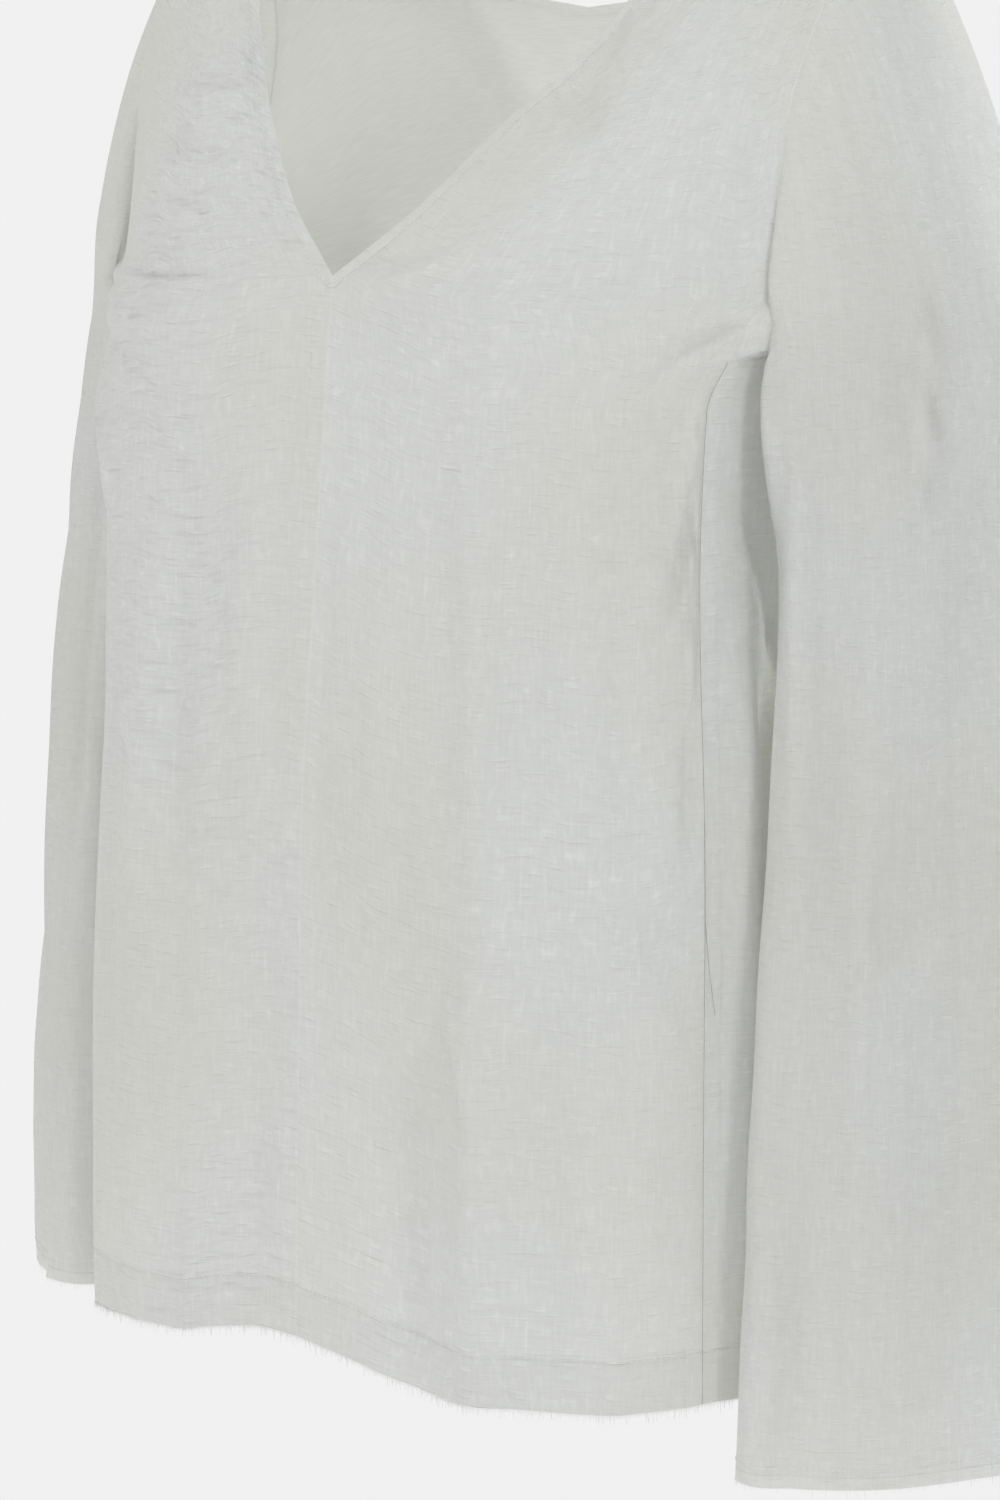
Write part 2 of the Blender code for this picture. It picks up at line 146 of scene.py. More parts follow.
BACK_MIDDLE = {
    "height": (0.00, 0.20, 0.38, 0.55, UNDERARM, YOKE),
    "x": (0.0, 0.0, 0.0, 0.0, 0.0, 0.0),
    "y": (0.0550, 0.0500, 0.0480, 0.0520, 0.0560, 0.0570),
    "z": (-0.7000, -0.5650, -0.4370, -0.3180, -0.2400, -0.1550),
}
BACK_NECK = {
    "height": (0.00, 0.35, 0.70, 1.00),
    "x": (0.0000, 0.0540, 0.1000, 0.1235),
    "y": (0.0350, 0.0310, 0.0160, 0.0000),
    "z": (-0.0680, -0.0600, -0.0300, 0.0000),
}
SHOULDER_SEAM = {
    "height": (0.00, 0.50, 1.00),
    "x": (0.1235, 0.1660, 0.2080),
    "y": (0.0000, 0.0000, 0.0000),
    "z": (0.0000, -0.0115, -0.0260),
}
FRONT_ROUND = {
    "height": (0.00, 0.38, UNDERARM, V_POINT, 0.80, 0.90, 1.00),
    "turn": (85, 85, 84, 66, 54, 40, 8),
    "bow": (0.006, 0.006, 0.010, 0.012, 0.010, 0.006, 0.000),
}
BACK_ROUND = {
    "height": (0.00, 0.38, UNDERARM, 0.725, YOKE),
    "turn": (100, 100, 100, 88, 70),
    "bow": (0.024, 0.024, 0.024, 0.020, 0.014),
}
BACK_TOP_TURN = (40, 88)
HEM_DROP = {"left": 0.000, "right": 0.003}
# How the hem dips and rises from the middle seam (0) to the side seam (1) of each front
HEM_WAVE = {
    "height": (0.0, 0.1, 0.2, 0.3, 0.4, 0.5, 0.6, 0.7, 0.8, 0.9, 1.0),
    "left": (0, 0.0028, 0.0070, 0.0088, 0.0065, 0.0047, 0.0046, 0.0044, 0.0022, 0.0008, 0),
    "right": (0, -0.0037, -0.0023, 0.0004, -0.0015, -0.0039, -0.0036, -0.0030, 0.0004, 0.0010, 0),
}

# %% The sections of a sleeve, and the largest folds
SLEEVE_SECTIONS = {
    "height": (0.00, 0.08, 0.17, 0.28, 0.45, 0.70, 1.00),
    "x": (0.2010, 0.2200, 0.2310, 0.2380, 0.2460, 0.2520, 0.2560),
    "y": (-0.0300, -0.0170, -0.0060, -0.0040, -0.0070, -0.0080, -0.0080),
    "z": (-0.1310, -0.1890, -0.2480, -0.3120, -0.4150, -0.5700, -0.7320),
    "depth": (0.0730, 0.0740, 0.0790, 0.0830, 0.0900, 0.1030, 0.1120),
    "width": (0.1050, 0.0555, 0.0400, 0.0360, 0.0370, 0.0410, 0.0440),
    "turn": (0, 10, 20, 21, 22, 23, 24),
    "tilt": (83, 60, 32, 10, 2, 0, 0),
}
SLEEVE_SEAM, SLEEVE_FREE = 45, 0.17
# How a sleeve leaves the armhole, by the place round it: 0 at the underarm, 0.5 at the shoulder
SLEEVE_LEAVE = {
    "height": (0.00, 0.06, 0.10, 0.16, 0.30, 0.50, 0.60, 0.70, 0.85, 0.94, 1.00),
    "out": (0.014, 0.009, 0.000, -0.001, 0.003, 0.004, 0.007, 0.008, 0.009, 0.013, 0.014),
    "fore": (0.000, -0.002, -0.005, -0.005, -0.002, 0.000, 0.000, 0.000, 0.000, 0.000, 0.000),
    "up": (0.008, 0.006, 0.002, 0.000, 0.000, 0.000, 0.000, 0.000, 0.000, 0.004, 0.008),
}
CUFF_RISE = {"left": 0.000, "right": 0.028}
FRONT_FOLDS = {
    "left": {
        "across": (0.20, 0.46, 0.72), "width": (0.12, 0.11, 0.13), "out": (-0.0060, 0.0060, -0.0030),
        "low": (-0.20, -0.20, -0.20), "high": (0.50, 0.60, 0.52),
    },
    "right": {
        "across": (0.22, 0.50, 0.74), "width": (0.13, 0.12, 0.10), "out": (-0.0050, 0.0050, -0.0030),
        "low": (-0.20, -0.20, -0.20), "high": (0.46, 0.60, 0.50),
    },
}
BACK_FOLDS = {
    "across": (-0.72, -0.50, -0.26, 0.00, 0.26, 0.48, 0.70),
    "width": (0.08, 0.11, 0.11, 0.12, 0.11, 0.10, 0.08),
    "out": (0.0050, -0.0070, 0.0080, -0.0070, 0.0085, -0.0075, 0.0060),
    "low": (-0.20, -0.20, -0.20, -0.20, -0.20, -0.20, -0.20),
    "high": (0.58, 0.56, 0.62, 0.50, 0.64, 0.56, 0.60),
}
SLEEVE_FOLDS = {
    "across": (0.30, 0.48, 0.62, 0.76), "width": (0.05, 0.06, 0.05, 0.06),
    "out": (0.0030, 0.0050, -0.0050, 0.0060),
    "low": (0.12, 0.30, 0.20, 0.35), "high": (0.55, 1.30, 1.30, 1.30),
}
print("the body is", round(1000 * -SIDE_SEAM["z"][0]), "mm long at its sides")

# %% [markdown]
# ## From edges to a grid of points
# Each row of a front or the back runs from its middle to its side like part of an ellipse, which
# is how cloth wraps a body. The grid is fine: a point about every 4 mm across and along.

# %% Rows, folds and normals
COLUMNS_HALF = 60


def side_edge(heights, armhole, drop):
    low = heights <= UNDERARM
    edge = np.empty((len(heights), 3))
    edge[low], edge[~low] = point_of(SIDE_SEAM, heights[low]), point_of(armhole, heights[~low])
    edge[:, 2] -= drop * np.clip(1 - heights / UNDERARM, 0, 1) ** 2
    return edge


def rows_between(inner, outer, turn, bow, out_sign, columns):
    across, angle = np.linspace(0, 1, columns), np.radians(turn)[:, None]
    sideways = np.sin(across * angle) / np.sin(angle)
    forward = (np.cos(across * angle) - np.cos(angle)) / (1 - np.cos(angle))
    down = 1 - (1 - across) ** 2
    rows = np.empty((len(turn), columns, 3))
    rows[..., 0] = inner[:, None, 0] + (outer - inner)[:, None, 0] * sideways
    rows[..., 1] = outer[:, None, 1] + (inner - outer)[:, None, 1] * forward
    rows[..., 1] += out_sign * bow[:, None] * np.sin(math.pi * across) ** 1.5
    rows[..., 2] = inner[:, None, 2] + (outer - inner)[:, None, 2] * down
    return rows


def fold_height(folds, across, heights):
    lift = np.zeros((len(heights), len(across)))
    for place, width, out, low, high in zip(*folds.values()):
        ridge = np.exp(-(((across - place) / width) ** 2))
        along = (heights - low) / (high - low)
        fade = np.where((along > 0) & (along < 1), np.sin(math.pi * np.clip(along, 0, 1)) ** 1.2, 0)
        lift += out * fade[:, None] * ridge[None, :]
    return lift


def outward(grid, inside):
    normal = np.cross(np.gradient(grid, axis=1), np.gradient(grid, axis=0))
    normal /= np.linalg.norm(normal, axis=-1, keepdims=True) + 1e-12
    facing = np.sum(normal * (grid - inside), axis=-1)
    return normal * np.where(facing.mean() < 0, -1, 1)


BODY_AXIS, SLEEVE_AXIS = np.array([0.0, -0.05, -0.4]), np.array([0.25, 0.0, -0.4])
print("a row has", COLUMNS_HALF, "points from the middle to the side")

# %% [markdown]
# ## Creases
# Linen keeps soft creases where it bends over and over. They could be a noise, but noise looks the
# same everywhere, and real creases start somewhere and run out. So each main one is given one by one,
# as a short bent line with its own width and depth, in the piece's own across and height, and fades
# to nothing at both ends. A small ripple of long waves then keeps the rest from lying too flat.

# %% Crease tables: where each starts, bends and ends, then its half width and height in mm
CREASES = {
    "front_left": [
        ((0.355, 0.67), (0.39, 0.50), (0.405, 0.33), 10, 2.4),
        ((0.405, 0.36), (0.42, 0.18), (0.405, -0.04), 9, 2.8),
        ((0.430, 0.66), (0.47, 0.45), (0.47, 0.25), 20, -1.6),
        ((0.340, 0.275), (0.355, 0.24), (0.400, 0.205), 4, 1.0),
        ((0.690, 0.36), (0.78, 0.32), (0.915, 0.24), 6, 1.1),
        ((0.975, 0.655), (0.88, 0.60), (0.82, 0.535), 6, 3.0),
        ((0.980, 0.630), (0.93, 0.57), (0.89, 0.510), 5, 2.6),
        ((0.975, 0.590), (0.96, 0.53), (0.94, 0.470), 4, 1.8),
        ((0.990, 0.700), (0.90, 0.70), (0.78, 0.660), 8, -1.4),
        ((0.030, 0.722), (0.08, 0.75), (0.150, 0.760), 4, 0.8),
        ((0.060, 0.700), (0.15, 0.73), (0.260, 0.785), 8, 1.2),
        ((0.050, 0.660), (0.17, 0.68), (0.300, 0.740), 10, -0.9),
        ((0.060, 0.900), (0.25, 0.89), (0.430, 0.860), 8, -1.6),
        ((0.100, 0.940), (0.28, 0.92), (0.480, 0.900), 6, 1.0),
        ((0.060, 0.640), (0.07, 0.50), (0.055, 0.36), 5, 0.8),
        ((0.160, 0.560), (0.17, 0.40), (0.150, 0.22), 12, 1.2),
        ((0.600, 0.640), (0.62, 0.48), (0.640, 0.36), 14, 1.0),
        ((0.620, 0.300), (0.60, 0.16), (0.630, 0.00), 14, -1.4),
        ((0.960, 0.470), (0.93, 0.42), (0.955, 0.36), 6, -1.2),
        ((0.250, 0.200), (0.24, 0.10), (0.270, -0.04), 12, -1.6),
    ],
    "front_right": [
        ((0.070, 0.885), (0.22, 0.87), (0.420, 0.880), 5, 1.0),
        ((0.120, 0.845), (0.32, 0.83), (0.620, 0.850), 5, -1.0),
        ((0.140, 0.810), (0.30, 0.80), (0.500, 0.800), 4, 0.9),
        ((0.200, 0.785), (0.42, 0.76), (0.700, 0.790), 6, 1.1),
        ((0.250, 0.745), (0.45, 0.73), (0.720, 0.745), 4, -0.9),
        ((0.300, 0.700), (0.60, 0.68), (0.960, 0.700), 7, 0.6),
        ((0.520, 0.655), (0.70, 0.64), (0.930, 0.665), 4, -1.0),
        ((0.950, 0.655), (0.75, 0.61), (0.600, 0.550), 8, 1.6),
        ((0.160, 0.640), (0.17, 0.52), (0.130, 0.400), 8, 1.0),
        ((0.300, 0.600), (0.34, 0.45), (0.320, 0.300), 10, -1.2),
        ((0.430, 0.560), (0.42, 0.40), (0.450, 0.250), 9, 1.5),
        ((0.560, 0.500), (0.58, 0.30), (0.550, 0.100), 10, -1.4),
        ((0.220, 0.300), (0.25, 0.15), (0.230, -0.04), 12, 1.5),
        ((0.100, 0.260), (0.09, 0.12), (0.110, 0.02), 6, -0.7),
        ((0.660, 0.420), (0.70, 0.20), (0.680, -0.04), 12, 1.6),
        ((0.850, 0.560), (0.86, 0.30), (0.840, 0.050), 10, -1.2),
    ],
    "back": [
        ((-0.86, 0.64), (-0.66, 0.59), (-0.50, 0.50), 9, 2.0),
        ((0.88, 0.64), (0.68, 0.60), (0.52, 0.52), 9, 2.0),
        ((-0.90, 0.61), (-0.78, 0.55), (-0.70, 0.46), 7, -1.4),
        ((0.92, 0.60), (0.80, 0.54), (0.74, 0.44), 7, -1.4),
        ((-0.42, 0.88), (-0.26, 0.84), (-0.08, 0.83), 10, 0.6),
        ((0.44, 0.87), (0.34, 0.82), (0.20, 0.80), 10, -0.6),
        ((-0.60, 0.78), (-0.50, 0.70), (-0.44, 0.60), 12, 1.8),
        ((0.58, 0.79), (0.50, 0.70), (0.40, 0.61), 12, 1.6),
        ((-0.12, 0.50), (-0.14, 0.30), (-0.10, 0.05), 12, 1.4),
        ((0.13, 0.46), (0.15, 0.26), (0.12, 0.02), 12, -1.4),
        ((0.36, 0.40), (0.38, 0.22), (0.37, -0.04), 10, 1.4),
        ((-0.38, 0.44), (-0.36, 0.24), (-0.39, -0.04), 10, -1.6),
        ((0.90, 0.52), (0.905, 0.30), (0.905, -0.08), 11, 3.4),
        ((0.82, 0.50), (0.83, 0.28), (0.83, -0.08), 13, -3.4),
        ((-0.90, 0.50), (-0.91, 0.28), (-0.90, -0.06), 11, 3.0),
        ((-0.82, 0.50), (-0.83, 0.28), (-0.82, -0.06), 13, -3.0),
    ],
    "sleeve_left": [
        ((0.352, 0.11), (0.335, 0.19), (0.312, 0.27), 4.5, 2.2),
        ((0.400, 0.19), (0.385, 0.28), (0.330, 0.44), 10, -2.2),
        ((0.335, 0.42), (0.320, 0.50), (0.295, 0.58), 12, -1.8),
        ((0.420, 0.16), (0.440, 0.40), (0.430, 0.70), 12, 2.6),
        ((0.175, 0.14), (0.165, 0.32), (0.180, 0.52), 12, 1.6),
        ((0.235, 0.30), (0.225, 0.50), (0.240, 0.72), 14, -1.4),
        ((0.290, 0.62), (0.280, 0.80), (0.290, 1.03), 13, 1.8),
        ((0.210, 0.74), (0.215, 0.88), (0.205, 1.03), 10, -1.6),
        ((0.370, 0.66), (0.365, 0.84), (0.375, 1.03), 12, -1.6),
        ((0.100, 0.10), (0.130, 0.16), (0.120, 0.26), 7, 1.8),
        ((0.050, 0.12), (0.080, 0.24), (0.070, 0.44), 10, -2.0),
        ((0.560, 0.14), (0.570, 0.40), (0.560, 0.80), 12, 2.2),
        ((0.690, 0.12), (0.700, 0.36), (0.690, 0.66), 12, -2.2),
        ((0.900, 0.10), (0.880, 0.30), (0.900, 0.60), 12, 2.2),
        ((0.830, 0.50), (0.840, 0.72), (0.820, 1.03), 12, -1.8),
    ],
    "sleeve_right": [
        ((0.330, 0.12), (0.320, 0.24), (0.300, 0.38), 8, 1.8),
        ((0.400, 0.16), (0.410, 0.40), (0.390, 0.66), 11, -2.0),
        ((0.250, 0.22), (0.240, 0.44), (0.260, 0.70), 12, 1.8),
        ((0.470, 0.14), (0.480, 0.44), (0.470, 0.90), 12, 2.2),
        ((0.170, 0.18), (0.160, 0.40), (0.175, 0.62), 10, -1.4),
        ((0.300, 0.60), (0.310, 0.80), (0.295, 1.03), 10, 2.2),
        ((0.220, 0.72), (0.210, 0.86), (0.230, 1.03), 8, -1.6),
        ((0.380, 0.70), (0.390, 0.86), (0.380, 1.03), 9, 1.8),
        ((0.080, 0.12), (0.100, 0.26), (0.090, 0.46), 10, 1.8),
        ((0.620, 0.12), (0.610, 0.40), (0.630, 0.76), 12, -2.2),
        ((0.760, 0.14), (0.770, 0.44), (0.750, 0.84), 12, 2.2),
        ((0.900, 0.12), (0.890, 0.34), (0.905, 0.66), 11, -2.0),
    ],
}
print({piece: len(rows) for piece, rows in CREASES.items()}, "creases")


# %% How a crease and the ripple lift the cloth
DEEPER = 3.6  # each crease is made this much deeper than its table says, or it would hardly show
RIPPLE_HIGH, RIPPLE_WAVES, RIPPLE_LEAN = 0.0006, (0.022, 0.085), 0.22
WAVE_SWAY, SWAY_LONG = 1.3, 0.09  # how far each wave sways aside as it runs up, and how slowly


def crease_lift(rows, x, y, width, length):
    lift = np.zeros(x.shape)
    steps = np.linspace(0, 1, 21)[:, None]
    for *bends, half_width, out in rows:
        start, bend, end = np.array(bends) * (width, length)
        line = (1 - steps) ** 2 * start + 2 * steps * (1 - steps) * bend + steps**2 * end
        best, where = np.full(x.shape, 1e9), np.zeros(x.shape)
        for i in range(len(line) - 1):
            step = line[i + 1] - line[i]
            t = np.clip(((x - line[i, 0]) * step[0] + (y - line[i, 1]) * step[1]) / (step @ step), 0, 1)
            away = np.hypot(x - line[i, 0] - t * step[0], y - line[i, 1] - t * step[1])
            nearer = away < best
            best, where = np.where(nearer, away, best), np.where(nearer, (i + t) / (len(line) - 1), where)
        ridge = np.exp(-((best / (half_width / 1000)) ** 2))
        lift += DEEPER * (out / 1000) * ridge * np.sin(math.pi * np.clip(where, 0.02, 0.98)) ** 0.6
    return lift


def ripple(x, y, seed, count=14):
    random = np.random.default_rng(seed)
    lift = np.zeros(x.shape)
    for _ in range(count):
        wave, lean = random.uniform(*RIPPLE_WAVES), random.normal(0, RIPPLE_LEAN)
        phase, share = random.uniform(0, 2 * math.pi), random.uniform(0.4, 1.0)
        sway = WAVE_SWAY * np.sin(y / SWAY_LONG + phase)
        lift += share * np.sin(2 * math.pi * (x + lean * y) / wave + phase + sway)
    return RIPPLE_HIGH * lift / math.sqrt(count)


sample = ripple(np.linspace(0, 1, 500), np.zeros(500), 3)
print("the ripple stands out", round(1000 * float(np.abs(sample).max()), 2), "mm at most")

# %% [markdown]
# ## The pieces as fine grids
# The fronts mirror each other except for their folds, creases and hems. The back goes up to the
# shoulder seams and the neck. A sleeve starts as the loop of its armhole, leaves it outwards, and turns
# into a flattened tube that hangs beside the body.

# %% Grids of the fronts
SEAM_FADE, TOP_FADE = 0.012, 0.030  # metres from a seam over which the creases die out
FOLD_FADE = 0.08  # and the large folds, as a share of the piece's width
RING_WIDE, RING_HIGH = 0.08, 0.05  # a sleeve's ripple is read on a slanted ring, so that it closes
SEEDS = {"front_left": 11, "front_right": 12, "back": 13, "sleeve_left": 14, "sleeve_right": 15}
FRONT_HEIGHTS = np.concatenate([
    np.linspace(0, UNDERARM, 131)[:-1], np.linspace(UNDERARM, V_POINT, 21)[:-1],
    np.linspace(V_POINT, 0.95, 51)[:-1], 1 - 0.05 * (1 - np.linspace(0, 1, 25)) ** 1.5])


def creased(grid, piece, across, heights, axis, closed=False):
    """The grid with the piece's creases and a ripple, which both die out at its seams."""
    width = np.linalg.norm(np.diff(grid, axis=1), axis=-1).sum(axis=1).mean() / (across[-1] - across[0])
    length = np.linalg.norm(np.diff(grid, axis=0), axis=-1).sum(axis=0).mean()
    x, y = np.meshgrid(across * width, heights * length)
    lift = crease_lift(CREASES[piece], x, y, width, length)
    if closed:
        before, after = (crease_lift(CREASES[piece], x + w, y, width, length) for w in (-width, width))
        lift += before + after
        whole = 2 * math.pi * across[None, :]
        ring_x, ring_y = RING_WIDE * np.cos(whole) + 0 * y, y + RING_HIGH * np.sin(whole)
        lift += ripple(ring_x, ring_y, SEEDS[piece])
    else:
        lift += ripple(x, y, SEEDS[piece])
        side = np.minimum(across - across[0], across[-1] - across) * width
        lift *= np.clip(side / SEAM_FADE, 0, 1)[None, :]
    lift *= np.clip((heights if closed else 1 - heights)[:, None] * length / TOP_FADE, 0, 1)
    return grid + outward(grid, axis) * lift[..., None]


def front_grid(side):
    heights, across = FRONT_HEIGHTS, np.linspace(0, 1, COLUMNS_HALF)
    inner = point_of(FRONT_MIDDLE, heights, (V_POINT,))
    outer = side_edge(heights, ARMHOLE_FRONT, HEM_DROP[side])
    turn, bow = (read(FRONT_ROUND, name, heights) for name in ("turn", "bow"))
    grid = rows_between(inner, outer, turn, bow, -1, COLUMNS_HALF)
    near_top = np.clip((heights - YOKE) / (1 - YOKE), 0, 1) ** 2
    grid += near_top[:, None, None] * (point_of(SHOULDER_SEAM, across) - grid[-1])[None]
    grid[..., 2] -= np.clip(1 - heights / 0.3, 0, 1)[:, None] ** 1.5 * read(HEM_WAVE, side, across)
    lift = fold_height(FRONT_FOLDS[side], across, heights)
    lift *= np.minimum(1, np.minimum(across, 1 - across) / FOLD_FADE)[None, :]
    grid += outward(grid, BODY_AXIS) * lift[..., None]
    return creased(grid, "front_" + side, across, heights, BODY_AXIS)


print("a front has", front_grid("left").shape[:2], "points")


# %% Grid of the back
BACK_HEIGHTS = np.concatenate([
    np.linspace(0, UNDERARM, 131)[:-1], np.linspace(UNDERARM, YOKE, 41)[:-1],
    1 - (1 - YOKE) * (1 - np.linspace(0, 1, 61)) ** 1.5])


def over_shoulder(yoke, top, outer, heights, across):
    rise = ((heights - YOKE) / (1 - YOKE))[:, None]
    end = np.radians(np.interp(across, (0, NECK_SHARE), BACK_TOP_TURN))[None, :]
    shares = (rise, (1 - np.cos(rise * end)) / (1 - np.cos(end)), np.sin(rise * end) / np.sin(end))
    rows = np.stack([yoke[:, i] + (top - yoke)[:, i] * share for i, share in enumerate(shares)], axis=-1)
    return rows + across[None, :, None] ** 3 * (outer - rows[:, -1])[:, None]


def back_half(side):
    heights, across = BACK_HEIGHTS, np.linspace(0, 1, COLUMNS_HALF)
    outer = side_edge(heights, ARMHOLE_BACK, HEM_DROP[side])
    low = heights <= YOKE + 1e-9
    inner = point_of(BACK_MIDDLE, heights[low])
    turn, bow = (read(BACK_ROUND, name, heights[low]) for name in ("turn", "bow"))
    body = rows_between(inner, outer[low], turn, bow, 1, COLUMNS_HALF)
    neck = point_of(BACK_NECK, across / NECK_SHARE)
    shoulder = point_of(SHOULDER_SEAM, (across - NECK_SHARE) / (1 - NECK_SHARE))
    top = np.where((across < NECK_SHARE)[:, None], neck, shoulder)
    return np.concatenate([body, over_shoulder(body[-1], top, outer[~low], heights[~low], across)])


def back_grid():
    grid = np.concatenate([(back_half("right") * (-1, 1, 1))[:, :0:-1], back_half("left")], axis=1)
    across = np.linspace(-1, 1, grid.shape[1])
    lift = fold_height(BACK_FOLDS, across, BACK_HEIGHTS)
    lift *= np.minimum(1, (1 - np.abs(across)) / FOLD_FADE)[None, :]
    grid += outward(grid, BODY_AXIS) * lift[..., None]
    return creased(grid, "back", across, BACK_HEIGHTS, BODY_AXIS)


print("the back has", back_grid().shape[:2], "points")


# %% Grid of a sleeve
def armhole_loop():
    heights = np.linspace(UNDERARM, 1, 56)
    up, down = side_edge(heights, ARMHOLE_FRONT, 0), side_edge(heights, ARMHOLE_BACK, 0)[::-1]
    up[0] = down[-1] = point_of(SIDE_SEAM, UNDERARM)
    return np.concatenate([up, down[1:]])


def sleeve_grid(side):
    loop = armhole_loop()
    steps = np.linalg.norm(np.diff(loop, axis=0), axis=1)
    across = np.concatenate([[0], np.cumsum(steps)]) / steps.sum()
    heights = np.linspace(0, 1, 190) ** 1.15
    section = {k: read(SLEEVE_SECTIONS, k, heights) for k in SLEEVE_SECTIONS if k != "height"}
    section["z"] = section["z"] + CUFF_RISE[side] * heights**2
    angle = 2 * math.pi * across + math.radians(SLEEVE_SEAM)
    turn, tilt = np.radians(section["turn"])[:, None], np.radians(section["tilt"])[:, None]
    along_depth = -np.sin(angle)[None, :] * section["depth"][:, None]
    along_width = -np.cos(angle)[None, :] * section["width"][:, None]
    level = along_width * np.cos(tilt)
    grid = np.empty((len(heights), len(across), 3))
    grid[..., 0] = section["x"][:, None] + level * np.cos(turn) + along_depth * np.sin(turn)
    grid[..., 1] = section["y"][:, None] - level * np.sin(turn) + along_depth * np.cos(turn)
    grid[..., 2] = section["z"][:, None] + along_width * np.sin(tilt)
    hold = np.clip(1 - heights / SLEEVE_FREE, 0, 1)
    grid += hold[:, None, None] ** 1.5 * (loop - grid[0])[None]
    leave = 27 / 4 * (1 - hold) * hold**2  # 1 at its highest, a third of the way to SLEEVE_FREE
    for axis, way in enumerate(("out", "fore", "up")):
        grid[..., axis] += leave[:, None] * read(SLEEVE_LEAVE, way, across)[None]
    lift = fold_height(SLEEVE_FOLDS, across, heights)
    grid += outward(grid, SLEEVE_AXIS) * lift[..., None]
    grid = creased(grid, "sleeve_" + side, across, heights, SLEEVE_AXIS, closed=True)
    grid[:, -1] = grid[:, 0] = (grid[:, 0] + grid[:, -1]) / 2
    return grid


print("a sleeve has", sleeve_grid("left").shape[:2], "points")

# %% [markdown]
# ## A sheet of cloth from a grid
# The grid becomes quads, with a UV map that follows the threads. Along the cloth it is in metres.
# Across, each column has one place for all its rows, so that the weave runs straight up. That place
# is the mean of the grid's second half of rows: the upper rows of the body, the lower of a sleeve.
# So the weave is stretched where a row is wider than that mean, up to 1.4 times at a front's hem.
# Each point also stores how far it lies from the edges and seams that a finish needs: the finish
# can then draw a stitched or turned edge at a true distance, however the cloth bends. Solidify
# gives the sheet its thickness, as a thin closed shell.

# %% Distances and sheets
LINEN_THICK = 0.0005


def placed(name, data):
    made = bpy.data.objects.new(name, data)
    bpy.context.scene.collection.objects.link(made)
    return made


def polyline_distance(points, line):
    best = np.full(points.shape[:-1], 1e9)
    for a, b in zip(line[:-1], line[1:]):
        step = b - a
        t = np.clip((points - a) @ step / max(step @ step, 1e-12), 0, 1)
        best = np.minimum(best, np.linalg.norm(points - a - t[..., None] * step, axis=-1))
    return best


def nearest(points, *lines):
    return np.minimum.reduce([polyline_distance(points, line) for line in lines])


def lengths(grid, axis):
    steps = np.linalg.norm(np.diff(grid, axis=axis), axis=-1)
    zero = np.zeros_like(np.take(steps, [0], axis=axis))
    return np.concatenate([zero, np.cumsum(steps, axis=axis)], axis=axis)


def sheet(name, grid, inside, distances, material, closed=False):
    """A mesh of quads with UVs along the threads and one attribute for each distance.

    The weave runs up from the hem on the body and from the cuff on a sleeve. The open edges are
    marked sharp, or smooth shading would draw a dark line where the wall turns.
    """
    rows, columns = grid.shape[:2]
    unique = columns - 1 if closed else columns
    index = np.arange(rows)[:, None] * unique + (np.arange(columns) % unique)[None, :]
    corner = [index[:-1, :-1], index[:-1, 1:], index[1:, 1:], index[1:, :-1]]
    along, across = lengths(grid, 0), lengths(grid, 1)
    u = np.broadcast_to(across[len(across) // 2:].mean(axis=0)[None, :], across.shape)
    v = along[-1][None] - along if closed else along
    uv = np.stack([u, v], axis=-1)
    uv_corner = [uv[:-1, :-1], uv[:-1, 1:], uv[1:, 1:], uv[1:, :-1]]
    normal = np.cross(grid[:-1, 1:] - grid[:-1, :-1], grid[1:, :-1] - grid[:-1, :-1])
    if np.sum(normal * (grid[:-1, :-1] - inside)) < 0:
        corner, uv_corner = corner[::-1], uv_corner[::-1]
    faces = np.stack(corner, axis=-1).reshape(-1, 4)
    mesh = bpy.data.meshes.new(name)
    mesh.from_pydata(grid[:, :unique].reshape(-1, 3), [], faces.tolist())
    uv_flat = np.stack(uv_corner, axis=2).astype(np.float32).ravel()
    mesh.uv_layers.new(name="cloth").data.foreach_set("uv", uv_flat)
    for key, values in distances.items():
        attribute = mesh.attributes.new(key, "FLOAT", "POINT")
        attribute.data.foreach_set("value", values[:, :unique].astype(np.float32).ravel())
    mesh.shade_smooth()
    used = np.empty(len(mesh.loops), np.int32)
    mesh.loops.foreach_get("edge_index", used)
    mesh.edges.foreach_set("use_edge_sharp", np.bincount(used, minlength=len(mesh.edges)) == 1)
    mesh.update()
    for finish in (material, linen_inner):
        mesh.materials.append(finish)
    piece = placed(name, mesh)
    wall = piece.modifiers.new("thickness", "SOLIDIFY")
    wall.thickness, wall.offset, wall.material_offset = LINEN_THICK, -1.0, 1
    area = np.linalg.norm(normal, axis=-1).sum()
    print(f"{name}: {len(faces)} quads, {area:.4f} square metres, {u.max() - u.min():.3f} by {v.max():.3f} m")
    return piece


# %% [markdown]
# ## Shader maths as expressions
# A finish is easier to read as sums than as nodes wired by hand. Two small classes do that: one
# wraps a socket, so that + - * make Math nodes, and one makes any other node from its type, its
# settings and its inputs. The same maker serves the Geometry Nodes further down.

# %% Sockets that can be added, and a maker of nodes
def plug(tree, socket, value):
    if isinstance(value, Value):
        value = value.socket
    if isinstance(value, bpy.types.NodeSocket):
        tree.links.new(value, socket)
    else:
        socket.default_value = value


def make_node(tree, kind, settings, inputs):
    made = tree.nodes.new(kind)
    for key, value in (settings or {}).items():
        setattr(made, key, value)
    for key, value in (inputs or {}).items():
        plug(tree, made.inputs[key], value)
    return made


